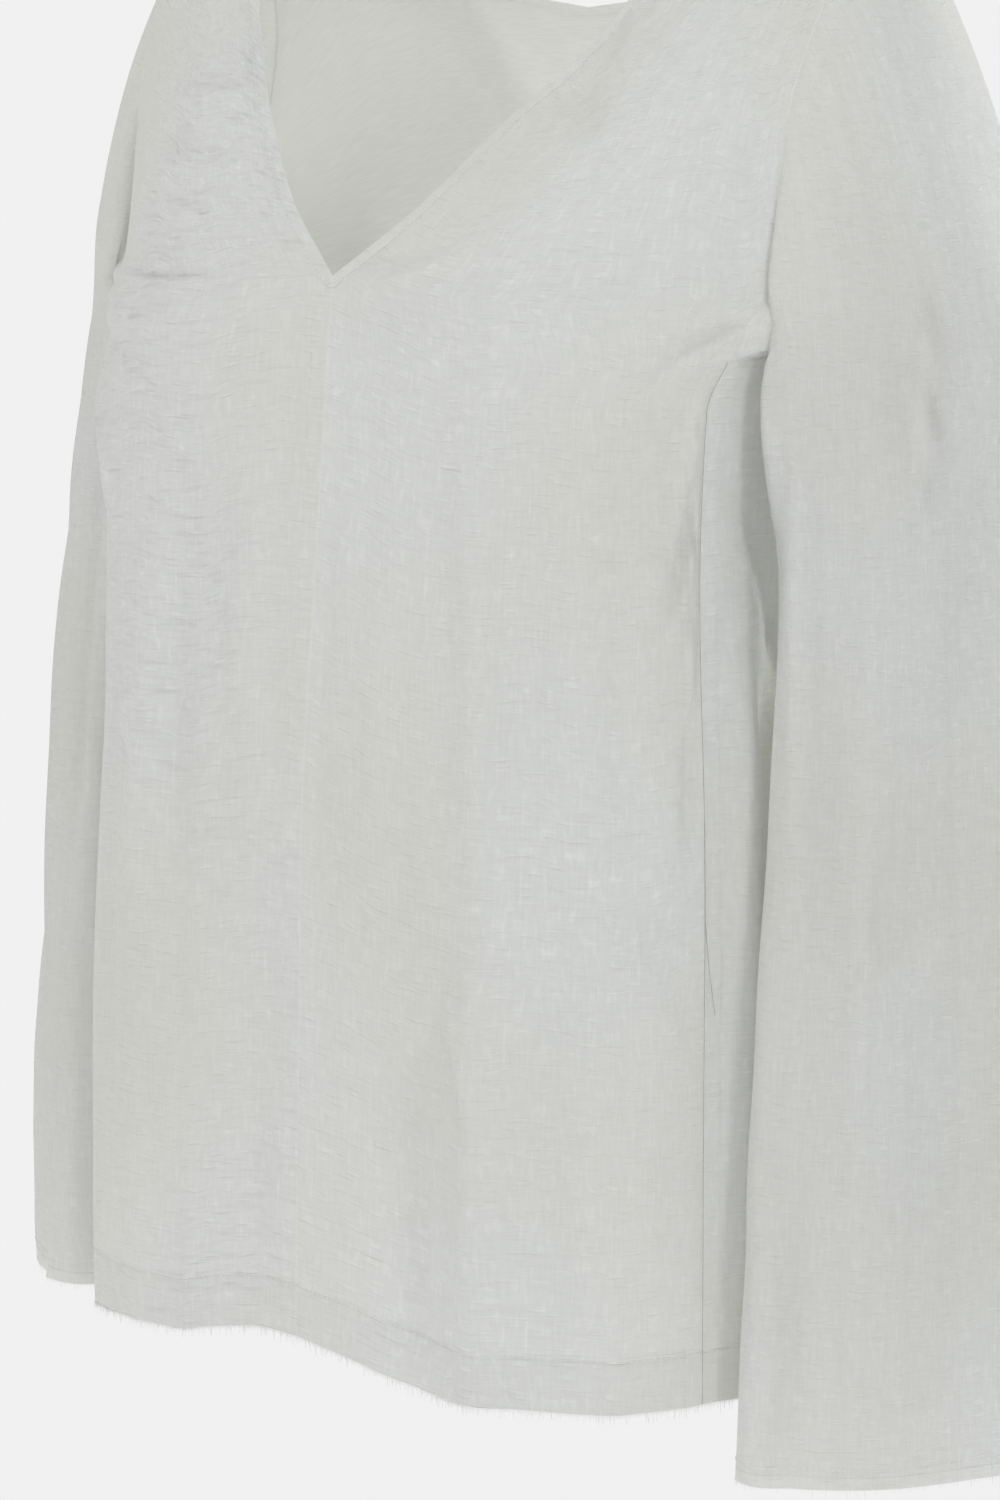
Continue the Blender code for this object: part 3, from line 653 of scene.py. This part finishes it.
class Value:
    def __init__(self, paint, socket):
        self.paint, self.socket = paint, socket

    def __add__(self, other):
        return self.paint.maths("ADD", self, other)

    def __sub__(self, other):
        return self.paint.maths("SUBTRACT", self, other)

    def __rsub__(self, other):
        return self.paint.maths("SUBTRACT", other, self)

    def __mul__(self, other):
        return self.paint.maths("MULTIPLY", self, other)

    __radd__ = __add__


class Paint:
    def __init__(self, name):
        self.material = bpy.data.materials.new(name)
        self.material.use_nodes = True
        self.tree = self.material.node_tree
        self.shader = self.tree.nodes["Principled BSDF"]

    def node(self, kind, settings=None, inputs=None, output=0):
        return Value(self, make_node(self.tree, kind, settings, inputs).outputs[output])

    def put(self, **inputs):
        for key, value in inputs.items():
            plug(self.tree, self.shader.inputs[key.replace("_", " ")], value)

    def surface(self, shader):
        plug(self.tree, self.tree.nodes["Material Output"].inputs["Surface"], shader)

    def let_through(self, share, tone, **normal):
        """Mix in a Translucent shader, so that this share of the light passes through."""
        through = self.node("ShaderNodeBsdfTranslucent", None, {"Color": tone, **normal})
        back = Value(self, self.shader.outputs[0])
        self.surface(self.node("ShaderNodeMixShader", None, {0: share, 1: back, 2: through}))

    def along_cloth(self):
        """The places across and along the cloth, from its UV map."""
        place = self.node("ShaderNodeUVMap", {"uv_map": "cloth"})
        split = self.node("ShaderNodeSeparateXYZ", None, {0: place})
        return split, Value(self, split.socket.node.outputs[1])

    def maths(self, operation, *values):
        return self.node("ShaderNodeMath", {"operation": operation}, dict(enumerate(values)))

    def attribute(self, name):
        return self.node("ShaderNodeAttribute", {"attribute_name": name}, output="Fac")

    def step(self, value, low, high):
        """0 below low, 1 above high, smooth between them."""
        inputs = {"Value": value, "From Min": low, "From Max": high}
        return self.node("ShaderNodeMapRange", {"interpolation_type": "SMOOTHSTEP"}, inputs)

    def line(self, distance, at, half):
        """1 on a line that lies this far from an edge, 0 away from it."""
        return 1 - self.step(self.maths("ABSOLUTE", distance - at), 0.3 * half, half)

    def noise(self, x, y, seed=0.0, detail=0.0, rough=0.5):
        """Flat noise, which is quicker than solid noise; each seed looks at another part of it."""
        place = self.node("ShaderNodeCombineXYZ", None, {0: x + 17.3 * seed, 1: y})
        inputs = {"Vector": place, "Scale": 1.0, "Detail": detail, "Roughness": rough}
        return self.node("ShaderNodeTexNoise", {"noise_dimensions": "2D"}, inputs)

    def mix(self, share, first, second, blend="MIX"):
        settings = {"data_type": "RGBA", "blend_type": blend}
        return self.node("ShaderNodeMix", settings, {0: share, 6: first, 7: second}, output=2)

    def bump(self, height, strength):
        inputs = {"Strength": strength, "Distance": 1.0, "Height": height}
        return self.node("ShaderNodeBump", None, inputs)


print("the classes make a node for each + - *")

# %% [markdown]
# ## The linen
# Sheer linen is a plain weave of uneven yarn. Seen from a step away the single threads blur, and
# what shows are slubs: short thicker stretches of yarn, along the weft and the warp. Light also
# passes through the cloth, so the inside and the shaded side of a fold never get dark. A plain
# diffuse surface can't do that, so each wall mixes two shaders: one that sends light back, and a
# Translucent one that lets it through. All patterns are drawn on the UV map. The inner wall of
# each sheet has a second, plainer linen, because less of it is seen.

# %% The linen's finish
WHITE, SHADED = (0.83, 0.83, 0.825, 1), (0.76, 0.76, 0.73, 1)
WARM, COOL = (0.822, 0.822, 0.803, 1), (0.817, 0.829, 0.842, 1)
THROUGH, THROUGH_INNER, THROUGH_TONE = 0.50, 0.45, (0.965, 0.968, 0.945, 1)
# Metres from an edge to its stitch line, how softly the cloth changes there, and the ridge by the
# hem's stitches. Then where a seam's lighter line fades out, which is its doubled cloth and a painted
# highlight of its edge, and where its turned cloth fades out.
HEM_LINE, NECK_LINE, CUFF_LINE = 0.0245, 0.0055, 0.0090
HEM_SOFT, NECK_SOFT, RIDGE_AWAY, RIDGE_HALF = 0.0008, 0.0006, 0.0010, 0.0012
SEWN_HIGHLIGHT, TURNED = (0.0006, 0.0011), (0.0085, 0.0100)


def linen(name, crinkle, bands, seed):
    """Noises stretched along the threads; each adds its share to the tone, and metres to the height."""
    paint = Paint(name)
    u, v = paint.along_cloth()
    hem, neck, seam = (paint.attribute(key) for key in ("from_hem", "from_neck", "from_seam"))
    weft = paint.noise(u * 75, v * 1100, seed, 1.0)
    warp = paint.noise(u * 1100, v * 60, seed + 5, 1.0)
    slubs = paint.step(paint.noise(u * 120, v * 520, seed + 9), 0.60, 0.80)
    upright = paint.step(paint.noise(u * 560, v * 110, seed + 13), 0.62, 0.80)
    patch = paint.noise(u * 9, v * 6, seed + 2)
    crinkles = paint.noise(u * 55, v * 150, seed + 4, 1.0, 0.6) * paint.step(patch, 0.25, 0.75)
    stripes = paint.noise(u * 130, v * 2.5, seed + 6)

    tone = paint.mix(paint.step(patch, 0.35, 0.65), WARM, COOL)
    shade = (0.856 + weft * 0.11 + warp * 0.13 + (slubs + upright) * (0.02 + patch * 0.08)
             + (patch - 0.5) * 0.09 + (stripes - 0.5) * bands)
    hem_band = 1 - paint.step(hem, HEM_LINE - HEM_SOFT, HEM_LINE)
    hem_ridge = paint.line(hem, HEM_LINE + RIDGE_AWAY, RIDGE_HALF)
    neck_fold = 1 - paint.step(neck, NECK_LINE, NECK_LINE + NECK_SOFT)
    turned = 1 - paint.step(seam, *TURNED)
    # Close to a seam the cloth is doubled and drawn lighter; part of that lightness is a painted highlight
    # where the edge catches the light.
    sewn_highlight = 1 - paint.step(seam, *SEWN_HIGHLIGHT)
    shade = shade + turned * 0.012 + sewn_highlight * 0.06 + hem_ridge * 0.04 + neck_fold * 0.03 - hem_band * 0.055
    grey = paint.node("ShaderNodeCombineColor", None, {0: shade, 1: shade, 2: shade})

    height = (weft * 0.00028 + warp * 0.00026 + slubs * 0.00030 + crinkles * (crinkle * 0.0040)
              + turned * 0.0003 + hem_ridge * 0.0004 + neck_fold * 0.0005 - hem_band * 0.0004)
    bump = paint.bump(height, 0.8)
    paint.put(Base_Color=paint.mix(1.0, tone, grey, "MULTIPLY"), Normal=bump, Roughness=0.86)
    paint.put(Sheen_Weight=0.25, Sheen_Roughness=0.5, Specular_IOR_Level=0.25)
    paint.let_through(THROUGH, THROUGH_TONE, Normal=bump)
    return paint.material


def linen_inside(name):
    """The inner wall, with one weave noise and no bump."""
    paint = Paint(name)
    u, v = paint.along_cloth()
    weave = paint.noise(u * 90, v * 1100, 2.0)
    paint.put(Base_Color=paint.mix(paint.step(weave, 0.2, 0.8), SHADED, WHITE), Roughness=0.9)
    paint.let_through(THROUGH_INNER, THROUGH_TONE)
    return paint.material


linen_inner = linen_inside("linen_inner")
linen_body = linen("linen_body", crinkle=0.40, bands=0.03, seed=1.0)
linen_crinkled = linen("linen_crinkled", crinkle=1.0, bands=0.03, seed=4.0)
linen_sleeve = linen("linen_sleeve", crinkle=0.20, bands=0.07, seed=7.0)
print("three linens and an inner one:", [m.name for m in (linen_body, linen_crinkled, linen_sleeve)])


# %% The thread of the stitches, the rolled seams and the fringe
THREAD_THROUGH, TWIST_HIGH = 0.35, 0.0002


def thread(name, light, dark):
    paint = Paint(name)
    spot = paint.node("ShaderNodeTexCoord", output="Object")
    blots = paint.node("ShaderNodeTexNoise", None, {"Vector": spot, "Scale": 420.0, "Detail": 1.0})
    twist = paint.node("ShaderNodeTexNoise", None, {"Vector": spot, "Scale": 1800.0, "Detail": 0.0})
    paint.put(Base_Color=paint.mix(paint.step(blots, 0.35, 0.65), dark, light),
              Normal=paint.bump(twist * TWIST_HIGH, 0.5), Roughness=0.8)
    paint.let_through(THREAD_THROUGH, light)
    return paint.material


# White as the stitches' own thread; on the rolled seams the same white is also a painted highlight along the
# doubled edge.
sewing_thread_and_highlight = thread("sewing_thread_and_highlight", (0.97, 0.97, 0.96, 1), (0.90, 0.90, 0.88, 1))
loose_yarn = thread("loose_yarn", (0.94, 0.94, 0.93, 1), (0.86, 0.86, 0.84, 1))
# The dark thread is also the painted shadow line along the near side seam's front edge.
dark_thread_and_shadow = thread("dark_thread_and_shadow", (0.60, 0.60, 0.57, 1), (0.48, 0.48, 0.45, 1))

# %% [markdown]
# ## Cutting the pieces
# Each sheet takes its grid, its distances and its linen. A place with no such edge gets a distance
# of 1 m, so that the finish draws nothing there.

# %% The five pieces
FAR = 1.0
SIDES = {"left": 1, "right": -1}  # the wearer's left is at +X, and the right is its mirror image
cloth, grids, axes, marks = {}, {}, {}, {}


def cut(name, grid, axis, hem, neck, seam, material, closed=False):
    grids[name], axes[name] = grid, axis
    marks[name] = {"from_hem": hem, "from_neck": neck, "from_seam": seam}
    cloth[name] = sheet(name + "_cloth", grid, axis, marks[name], material, closed)


for side, mirror in SIDES.items():
    grid = front_grid(side) * (mirror, 1, 1)
    neck_edge = grid[FRONT_HEIGHTS >= V_POINT - 1e-9, 0]
    middle_seam = grid[FRONT_HEIGHTS <= V_POINT + 1e-9, 0]
    seam = nearest(grid, middle_seam[::4], grid[::4, -1], grid[-1, ::3])
    neck = nearest(grid, neck_edge[::2])
    cut("front_" + side, grid, BODY_AXIS, lengths(grid, 0), neck, seam,
        linen_body if side == "left" else linen_crinkled)

grid = back_grid()
middle, reach = grid.shape[1] // 2, round(NECK_SHARE * (COLUMNS_HALF - 1))
neck_edge = grid[-1, middle - reach: middle + reach + 1]
shoulders = (grid[-1, : middle - reach + 1], grid[-1, middle + reach:])
seam = nearest(grid, grid[::4, 0], grid[::4, -1], *(edge[::3] for edge in shoulders))
cut("back", grid, BODY_AXIS, lengths(grid, 0), nearest(grid, neck_edge[::2]), seam, linen_body)

for side, mirror in SIDES.items():
    grid = sleeve_grid(side) * (mirror, 1, 1)
    down = lengths(grid, 0)
    seam = nearest(grid, grid[0, ::2], grid[::4, 0])
    cut("sleeve_" + side, grid, SLEEVE_AXIS * (mirror, 1, 1), np.full(down.shape, FAR),
        down[-1][None] - down, seam, linen_sleeve, closed=True)

# %% [markdown]
# ## Lines to sew along
# Stitches, rolled seams and the frayed edge all follow lines on the cloth. The grid makes them easy
# to find: along each row or column, the point where the stored distance passes the wanted one lies
# on the line. The lines are lifted off the cloth by a fraction of a millimetre, so that they show.

# %% Where the lines run
LINE_LIFT = 0.0002


def crossing(name, key, at, axis, backwards=False):
    """Points where a stored distance passes a value along each row (axis 1) or column (axis 0)."""
    grid, values, normal = grids[name], marks[name][key], outward(grids[name], axes[name])
    if axis == 0:
        grid, values, normal = grid.swapaxes(0, 1), values.T, normal.swapaxes(0, 1)
    if backwards:
        grid, values, normal = grid[:, ::-1], values[:, ::-1], normal[:, ::-1]
    found = []
    for points, far, out in zip(grid, values, normal):
        k = int(np.argmax(far >= at))
        if k > 0 and far[0] < at:
            t = (at - far[k - 1]) / max(far[k] - far[k - 1], 1e-9)
            found.append(points[k - 1] * (1 - t) + points[k] * t + out[k] * LINE_LIFT)
    return np.array(found)


def both_fronts(right, left):
    """One line across both fronts, from the wearer's right side to the left."""
    return np.concatenate([right[::-1], left])


def edge(name, rows, columns, lift=0.0):
    return (grids[name] + outward(grids[name], axes[name]) * lift)[rows, columns].reshape(-1, 3)


ALL, BELOW_ARM = slice(None), FRONT_HEIGHTS <= UNDERARM + 1e-9
stitch_lines = [
    both_fronts(*(crossing(name, "from_neck", NECK_LINE, 1) for name in ("front_right", "front_left"))),
    crossing("back", "from_neck", NECK_LINE, 0, backwards=True),
    both_fronts(*(crossing(name, "from_hem", HEM_LINE, 0) for name in ("front_right", "front_left"))),
    crossing("back", "from_hem", HEM_LINE, 0),
] + [crossing("sleeve_" + side, "from_neck", CUFF_LINE, 0, backwards=True) for side in SIDES]
hem_edges = [both_fronts(edge("front_right", 0, ALL), edge("front_left", 0, ALL)), edge("back", 0, ALL)]
cuff_edges = [edge("sleeve_" + side, -1, ALL) for side in SIDES]
seam_lines = [edge("front_right", BELOW_ARM, -1)]
for side in SIDES:
    seam_lines += [edge("front_" + side, -1, ALL), edge("sleeve_" + side, 0, ALL)]
for line in stitch_lines + hem_edges + seam_lines:
    assert len(line) > 3 and np.abs(np.diff(line, axis=0)).max() < 0.05
print(len(stitch_lines), "stitch lines,", len(seam_lines), "seams; the hem is",
      round(sum(np.linalg.norm(np.diff(e, axis=0), axis=1).sum() for e in hem_edges), 3), "m round")

# %% [markdown]
# ## Stitches, seams and fringe with Geometry Nodes
# A stitch is one small shape repeated every few millimetres along a line, and so are the threads
# of a frayed edge. Geometry Nodes do just that: resample the line, put an instance on each point,
# turn it along the line, and scale it by a little chance. A rolled seam is even simpler, a small
# circle swept along its line. Each tree has its sizes as inputs and ends in plain mesh.

# %% Building a tree and running it
def curve_of(name, lines):
    data = bpy.data.curves.new(name, "CURVE")
    data.dimensions = "3D"
    for line in lines:
        spline = data.splines.new("POLY")
        spline.points.add(len(line) - 1)
        places = np.concatenate([line, np.ones((len(line), 1))], axis=1)
        spline.points.foreach_set("co", places.astype(np.float32).ravel())
    return placed(name, data)


class Tree:
    """A node tree with named number inputs, that ends in Realize Instances and Set Material."""

    def __init__(self, name, sizes):
        self.tree, self.sizes = bpy.data.node_groups.new(name, "GeometryNodeTree"), sizes
        face = self.tree.interface
        face.new_socket("Geometry", in_out="INPUT", socket_type="NodeSocketGeometry")
        self.ids = {}
        for key, value in sizes.items():
            kind = {int: "NodeSocketInt", float: "NodeSocketFloat"}.get(type(value), "NodeSocketMaterial")
            self.ids[key] = face.new_socket(key, in_out="INPUT", socket_type=kind).identifier
        face.new_socket("Geometry", in_out="OUTPUT", socket_type="NodeSocketGeometry")
        self.source = self.tree.nodes.new("NodeGroupInput")

    def size(self, key):
        return self.source.outputs[key]

    def node(self, kind, settings=None, inputs=None, output=0):
        """Make a node and give one of its outputs."""
        return make_node(self.tree, kind, settings, inputs).outputs[output]

    def points_every(self, step):
        inputs = {"Curve": self.source.outputs[0], "Length": step}
        return self.node("GeometryNodeResampleCurve", {"mode": "LENGTH"}, inputs)

    def long_shape(self, length):
        """A scale that makes a shape as wide as the radius and this long."""
        radius = self.size("Radius")
        return self.node("ShaderNodeCombineXYZ", None, {0: radius, 1: radius, 2: length})

    def copies(self, points, shape, turn, scale):
        inputs = {"Points": points, "Instance": shape, "Rotation": turn, "Scale": scale}
        return self.node("GeometryNodeInstanceOnPoints", None, inputs)

    def end(self, socket):
        real = self.node("GeometryNodeRealizeInstances", None, {0: socket})
        smooth_faces = self.node("GeometryNodeSetShadeSmooth", None, {0: real})
        inputs = {0: smooth_faces, "Material": self.size("Material")}
        dressed = self.node("GeometryNodeSetMaterial", None, inputs)
        make_node(self.tree, "NodeGroupOutput", None, {0: dressed})

    def run(self, name, lines):
        path = curve_of(name + "_path", lines)
        modifier = path.modifiers.new("make", "NODES")
        modifier.node_group = self.tree
        for key, value in self.sizes.items():
            modifier[self.ids[key]] = value
        graph = bpy.context.evaluated_depsgraph_get()
        mesh = bpy.data.meshes.new_from_object(path.evaluated_get(graph), depsgraph=graph)
        mesh.name = name
        made = placed(name, mesh)
        bpy.data.objects.remove(path)
        print(f"{name}: {len(mesh.polygons)} faces")
        return made


# %% One tree for stitches
def stitch_tree(spacing, length, radius, material):
    sizes = {"Spacing": spacing, "Length": length, "Radius": radius, "Material": material}
    tree = Tree("stitches", sizes)
    points = tree.points_every(tree.size("Spacing"))
    along = tree.node("GeometryNodeInputTangent")
    turn = tree.node("FunctionNodeAlignRotationToVector", {"axis": "Z"}, {"Vector": along})
    bead = tree.node("GeometryNodeMeshUVSphere", None, {"Segments": 6, "Rings": 5, "Radius": 1.0})
    half = tree.node("ShaderNodeMath", {"operation": "MULTIPLY"}, {0: tree.size("Length"), 1: 0.5})
    tree.end(tree.copies(points, bead, turn, tree.long_shape(half)))
    return tree


stitch_maker = stitch_tree(spacing=0.0027, length=0.0023, radius=0.00030, material=sewing_thread_and_highlight)
stitches = stitch_maker.run("stitches", stitch_lines)


# %% One tree for rolled seams, and the grey thread that also paints a seam's shadow
def roll_tree(radius, material, spacing=0.004):
    tree = Tree("rolled_seams", {"Radius": radius, "Spacing": spacing, "Material": material})
    inputs = {"Resolution": 6, "Radius": tree.size("Radius")}
    ring = tree.node("GeometryNodeCurvePrimitiveCircle", None, inputs)
    inputs = {"Curve": tree.points_every(tree.size("Spacing")), "Profile Curve": ring, "Fill Caps": True}
    tree.end(tree.node("GeometryNodeCurveToMesh", None, inputs))
    return tree


# The rolls are lighter than the linen: partly their doubled cloth, partly a painted highlight along each
# seam.
seam_rolls_and_highlight = roll_tree(radius=0.00034, material=sewing_thread_and_highlight).run("seam_rolls_and_highlight", seam_lines)

# A grey thread follows the near side seam, and is also a painted shadow line along the front's edge
# there; a second one comes loose from it half way down.
LOOSE_FROM, DOUBLED_FROM, THREAD_LIFT = 0.335, 0.40, 0.00005
LOOSE_END, LOOSE_SWAY = np.array([0.0042, 0.0024, -0.0450]), np.array([0.0022, 0.0004, 0.0])
seam_thread_and_shadow = edge("front_left", BELOW_ARM, -1, THREAD_LIFT)
doubled_rows = (FRONT_HEIGHTS > LOOSE_FROM) & (FRONT_HEIGHTS < DOUBLED_FROM)
doubled = edge("front_left", doubled_rows, -1, LINE_LIFT)
drop = np.linspace(0, 1, 13)[1:, None]
hanging = doubled[0] + LOOSE_END * drop + LOOSE_SWAY * (drop**2 - drop)
threads = [seam_thread_and_shadow, np.concatenate([doubled[::-1], hanging])]
grey_threads_and_shadow = roll_tree(radius=0.00014, material=dark_thread_and_shadow).run("grey_threads_and_shadow", threads)


# %% One tree for the frayed edges
# A yarn is turned half round, so that it points down, and then tilted and spun by chance
HANGS, LEAN, ROUND = 3.14159, 0.22, 3.0


def fringe_tree(spacing, shortest, longest, radius, material, seed):
    tree = Tree("fringe", {"Spacing": spacing, "Shortest": shortest, "Longest": longest, "Radius": radius,
                           "Seed": seed, "Material": material})
    points = tree.points_every(tree.size("Spacing"))
    sides = {"Vertices": 3, "Side Segments": 2, "Fill Segments": 1}
    taper = {"Radius Top": 0.35, "Radius Bottom": 1.0, "Depth": 1.0}
    yarn = tree.node("GeometryNodeMeshCone", {"fill_type": "NGON"}, {**sides, **taper})
    inputs = {2: 0.0, 3: 1.0, "Seed": tree.size("Seed")}
    chance = tree.node("FunctionNodeRandomValue", {"data_type": "FLOAT"}, inputs, output=1)
    bent = tree.node("ShaderNodeMath", {"operation": "POWER"}, {0: chance, 1: 3.0})
    inputs = {"Value": bent, "To Min": tree.size("Shortest"), "To Max": tree.size("Longest")}
    long = tree.node("ShaderNodeMapRange", None, inputs)
    inputs = {0: (HANGS - LEAN, -LEAN, -ROUND), 1: (HANGS + LEAN, LEAN, ROUND), "Seed": 7}
    lean = tree.node("FunctionNodeRandomValue", {"data_type": "FLOAT_VECTOR"}, inputs)
    tree.end(tree.copies(points, yarn, lean, tree.long_shape(long)))
    return tree


hem_maker = fringe_tree(spacing=0.00050, shortest=0.0012, longest=0.0055, radius=0.00011,
                        material=loose_yarn, seed=3)
hem_fringe = hem_maker.run("hem_fringe", hem_edges)
cuff_maker = fringe_tree(spacing=0.0016, shortest=0.0008, longest=0.0040, radius=0.00013,
                         material=loose_yarn, seed=4)
cuff_fringe = cuff_maker.run("cuff_fringe", cuff_edges)
for piece in (stitches, seam_rolls_and_highlight, grey_threads_and_shadow, hem_fringe, cuff_fringe):
    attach(piece, "root")

# %% [markdown]
# ## Attaching the cloth
# Every sheet is attached to the root body, and the imported solid that it stands for is hidden, so
# that the visual model and the imported solids stay tied together.

# %% Each sheet on the root body, in place of its solid
for name, piece in cloth.items():
    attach(piece, "root")
    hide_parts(name)

# %% [markdown]
# ## Camera, floor and light
# The camera stands where the photograph was taken from: 40 degrees to the wearer's left, a little
# above the shoulders, 3 m away with a long lens. The light is that of a white studio: soft from all
# round, with a lamp in front and above, one at the side, and one behind that shines through. The
# floor and the air behind have one pale tone.

# %% Camera
TURN, LOOK_DOWN = math.radians(40), math.radians(8.8)
eye = Vector((1.9475, -2.3520, 0.0470))
level = math.cos(LOOK_DOWN)
ahead = Vector((-math.sin(TURN) * level, math.cos(TURN) * level, -math.sin(LOOK_DOWN)))
lens = bpy.data.cameras.new("studio_camera")
lens.lens, lens.sensor_fit, lens.sensor_height = 152.64, "VERTICAL", 36.0
camera = placed("studio_camera", lens)
camera.location, camera.rotation_mode = eye, "QUATERNION"
camera.rotation_quaternion = ahead.to_track_quat("-Z", "Y")
bpy.context.scene.camera = camera
print("the camera stands", round(eye.length, 2), "m away")

# %% Floor, air and lamps
PALE, FLOOR_LOW, FLOOR_RADIUS = (0.877, 0.877, 0.877, 1), -1.42, 30.0
floor_paint = Paint("pale_floor")
floor_paint.surface(floor_paint.node("ShaderNodeEmission", None, {"Color": PALE, "Strength": 1.0}))
bm = bmesh.new()
bmesh.ops.create_circle(bm, cap_ends=True, radius=FLOOR_RADIUS, segments=64)
bmesh.ops.translate(bm, verts=bm.verts, vec=(0, 0, FLOOR_LOW))
floor_mesh = bpy.data.meshes.new("floor")
bm.to_mesh(floor_mesh)
bm.free()
floor = placed("floor", floor_mesh)
floor_mesh.materials.append(floor_paint.material)

world = bpy.data.worlds.new("studio_air")
bpy.context.scene.world = world
world.use_nodes = True
air = world.node_tree
seen = air.nodes["Background"]
plug(air, seen.inputs["Color"], PALE)
plug(air, seen.inputs["Strength"], 1.0)
lit = make_node(air, "ShaderNodeBackground", None, {"Color": (1.0, 1.0, 0.99, 1), "Strength": 0.57})
ray = make_node(air, "ShaderNodeLightPath", None, None)
inputs = {0: ray.outputs["Is Camera Ray"], 1: lit.outputs[0], 2: seen.outputs[0]}
blend = make_node(air, "ShaderNodeMixShader", None, inputs)
plug(air, air.nodes["World Output"].inputs["Surface"], blend.outputs[0])


def lamp(name, place, target, size, power, colour):
    light = bpy.data.lights.new(name, "AREA")
    light.shape, light.size, light.energy, light.color = "DISK", size, power, colour
    made = placed(name, light)
    made.location, made.rotation_mode = place, "QUATERNION"
    made.rotation_quaternion = (Vector(target) - Vector(place)).to_track_quat("-Z", "Y")


lamp("front_lamp", (-1.3, -2.2, 1.5), (0, 0, -0.35), size=0.5, power=21, colour=(1.0, 0.99, 0.99))
lamp("side_lamp", (2.5, -1.0, 0.8), (0, 0, -0.35), size=0.5, power=17, colour=(0.97, 0.985, 1.0))
lamp("back_lamp", (0.7, 2.8, 0.2), (0.0, 0, -0.40), size=0.8, power=44, colour=(1.0, 1.0, 0.99))
bpy.context.scene.view_settings.view_transform = "Standard"
print("three lamps and a pale floor")
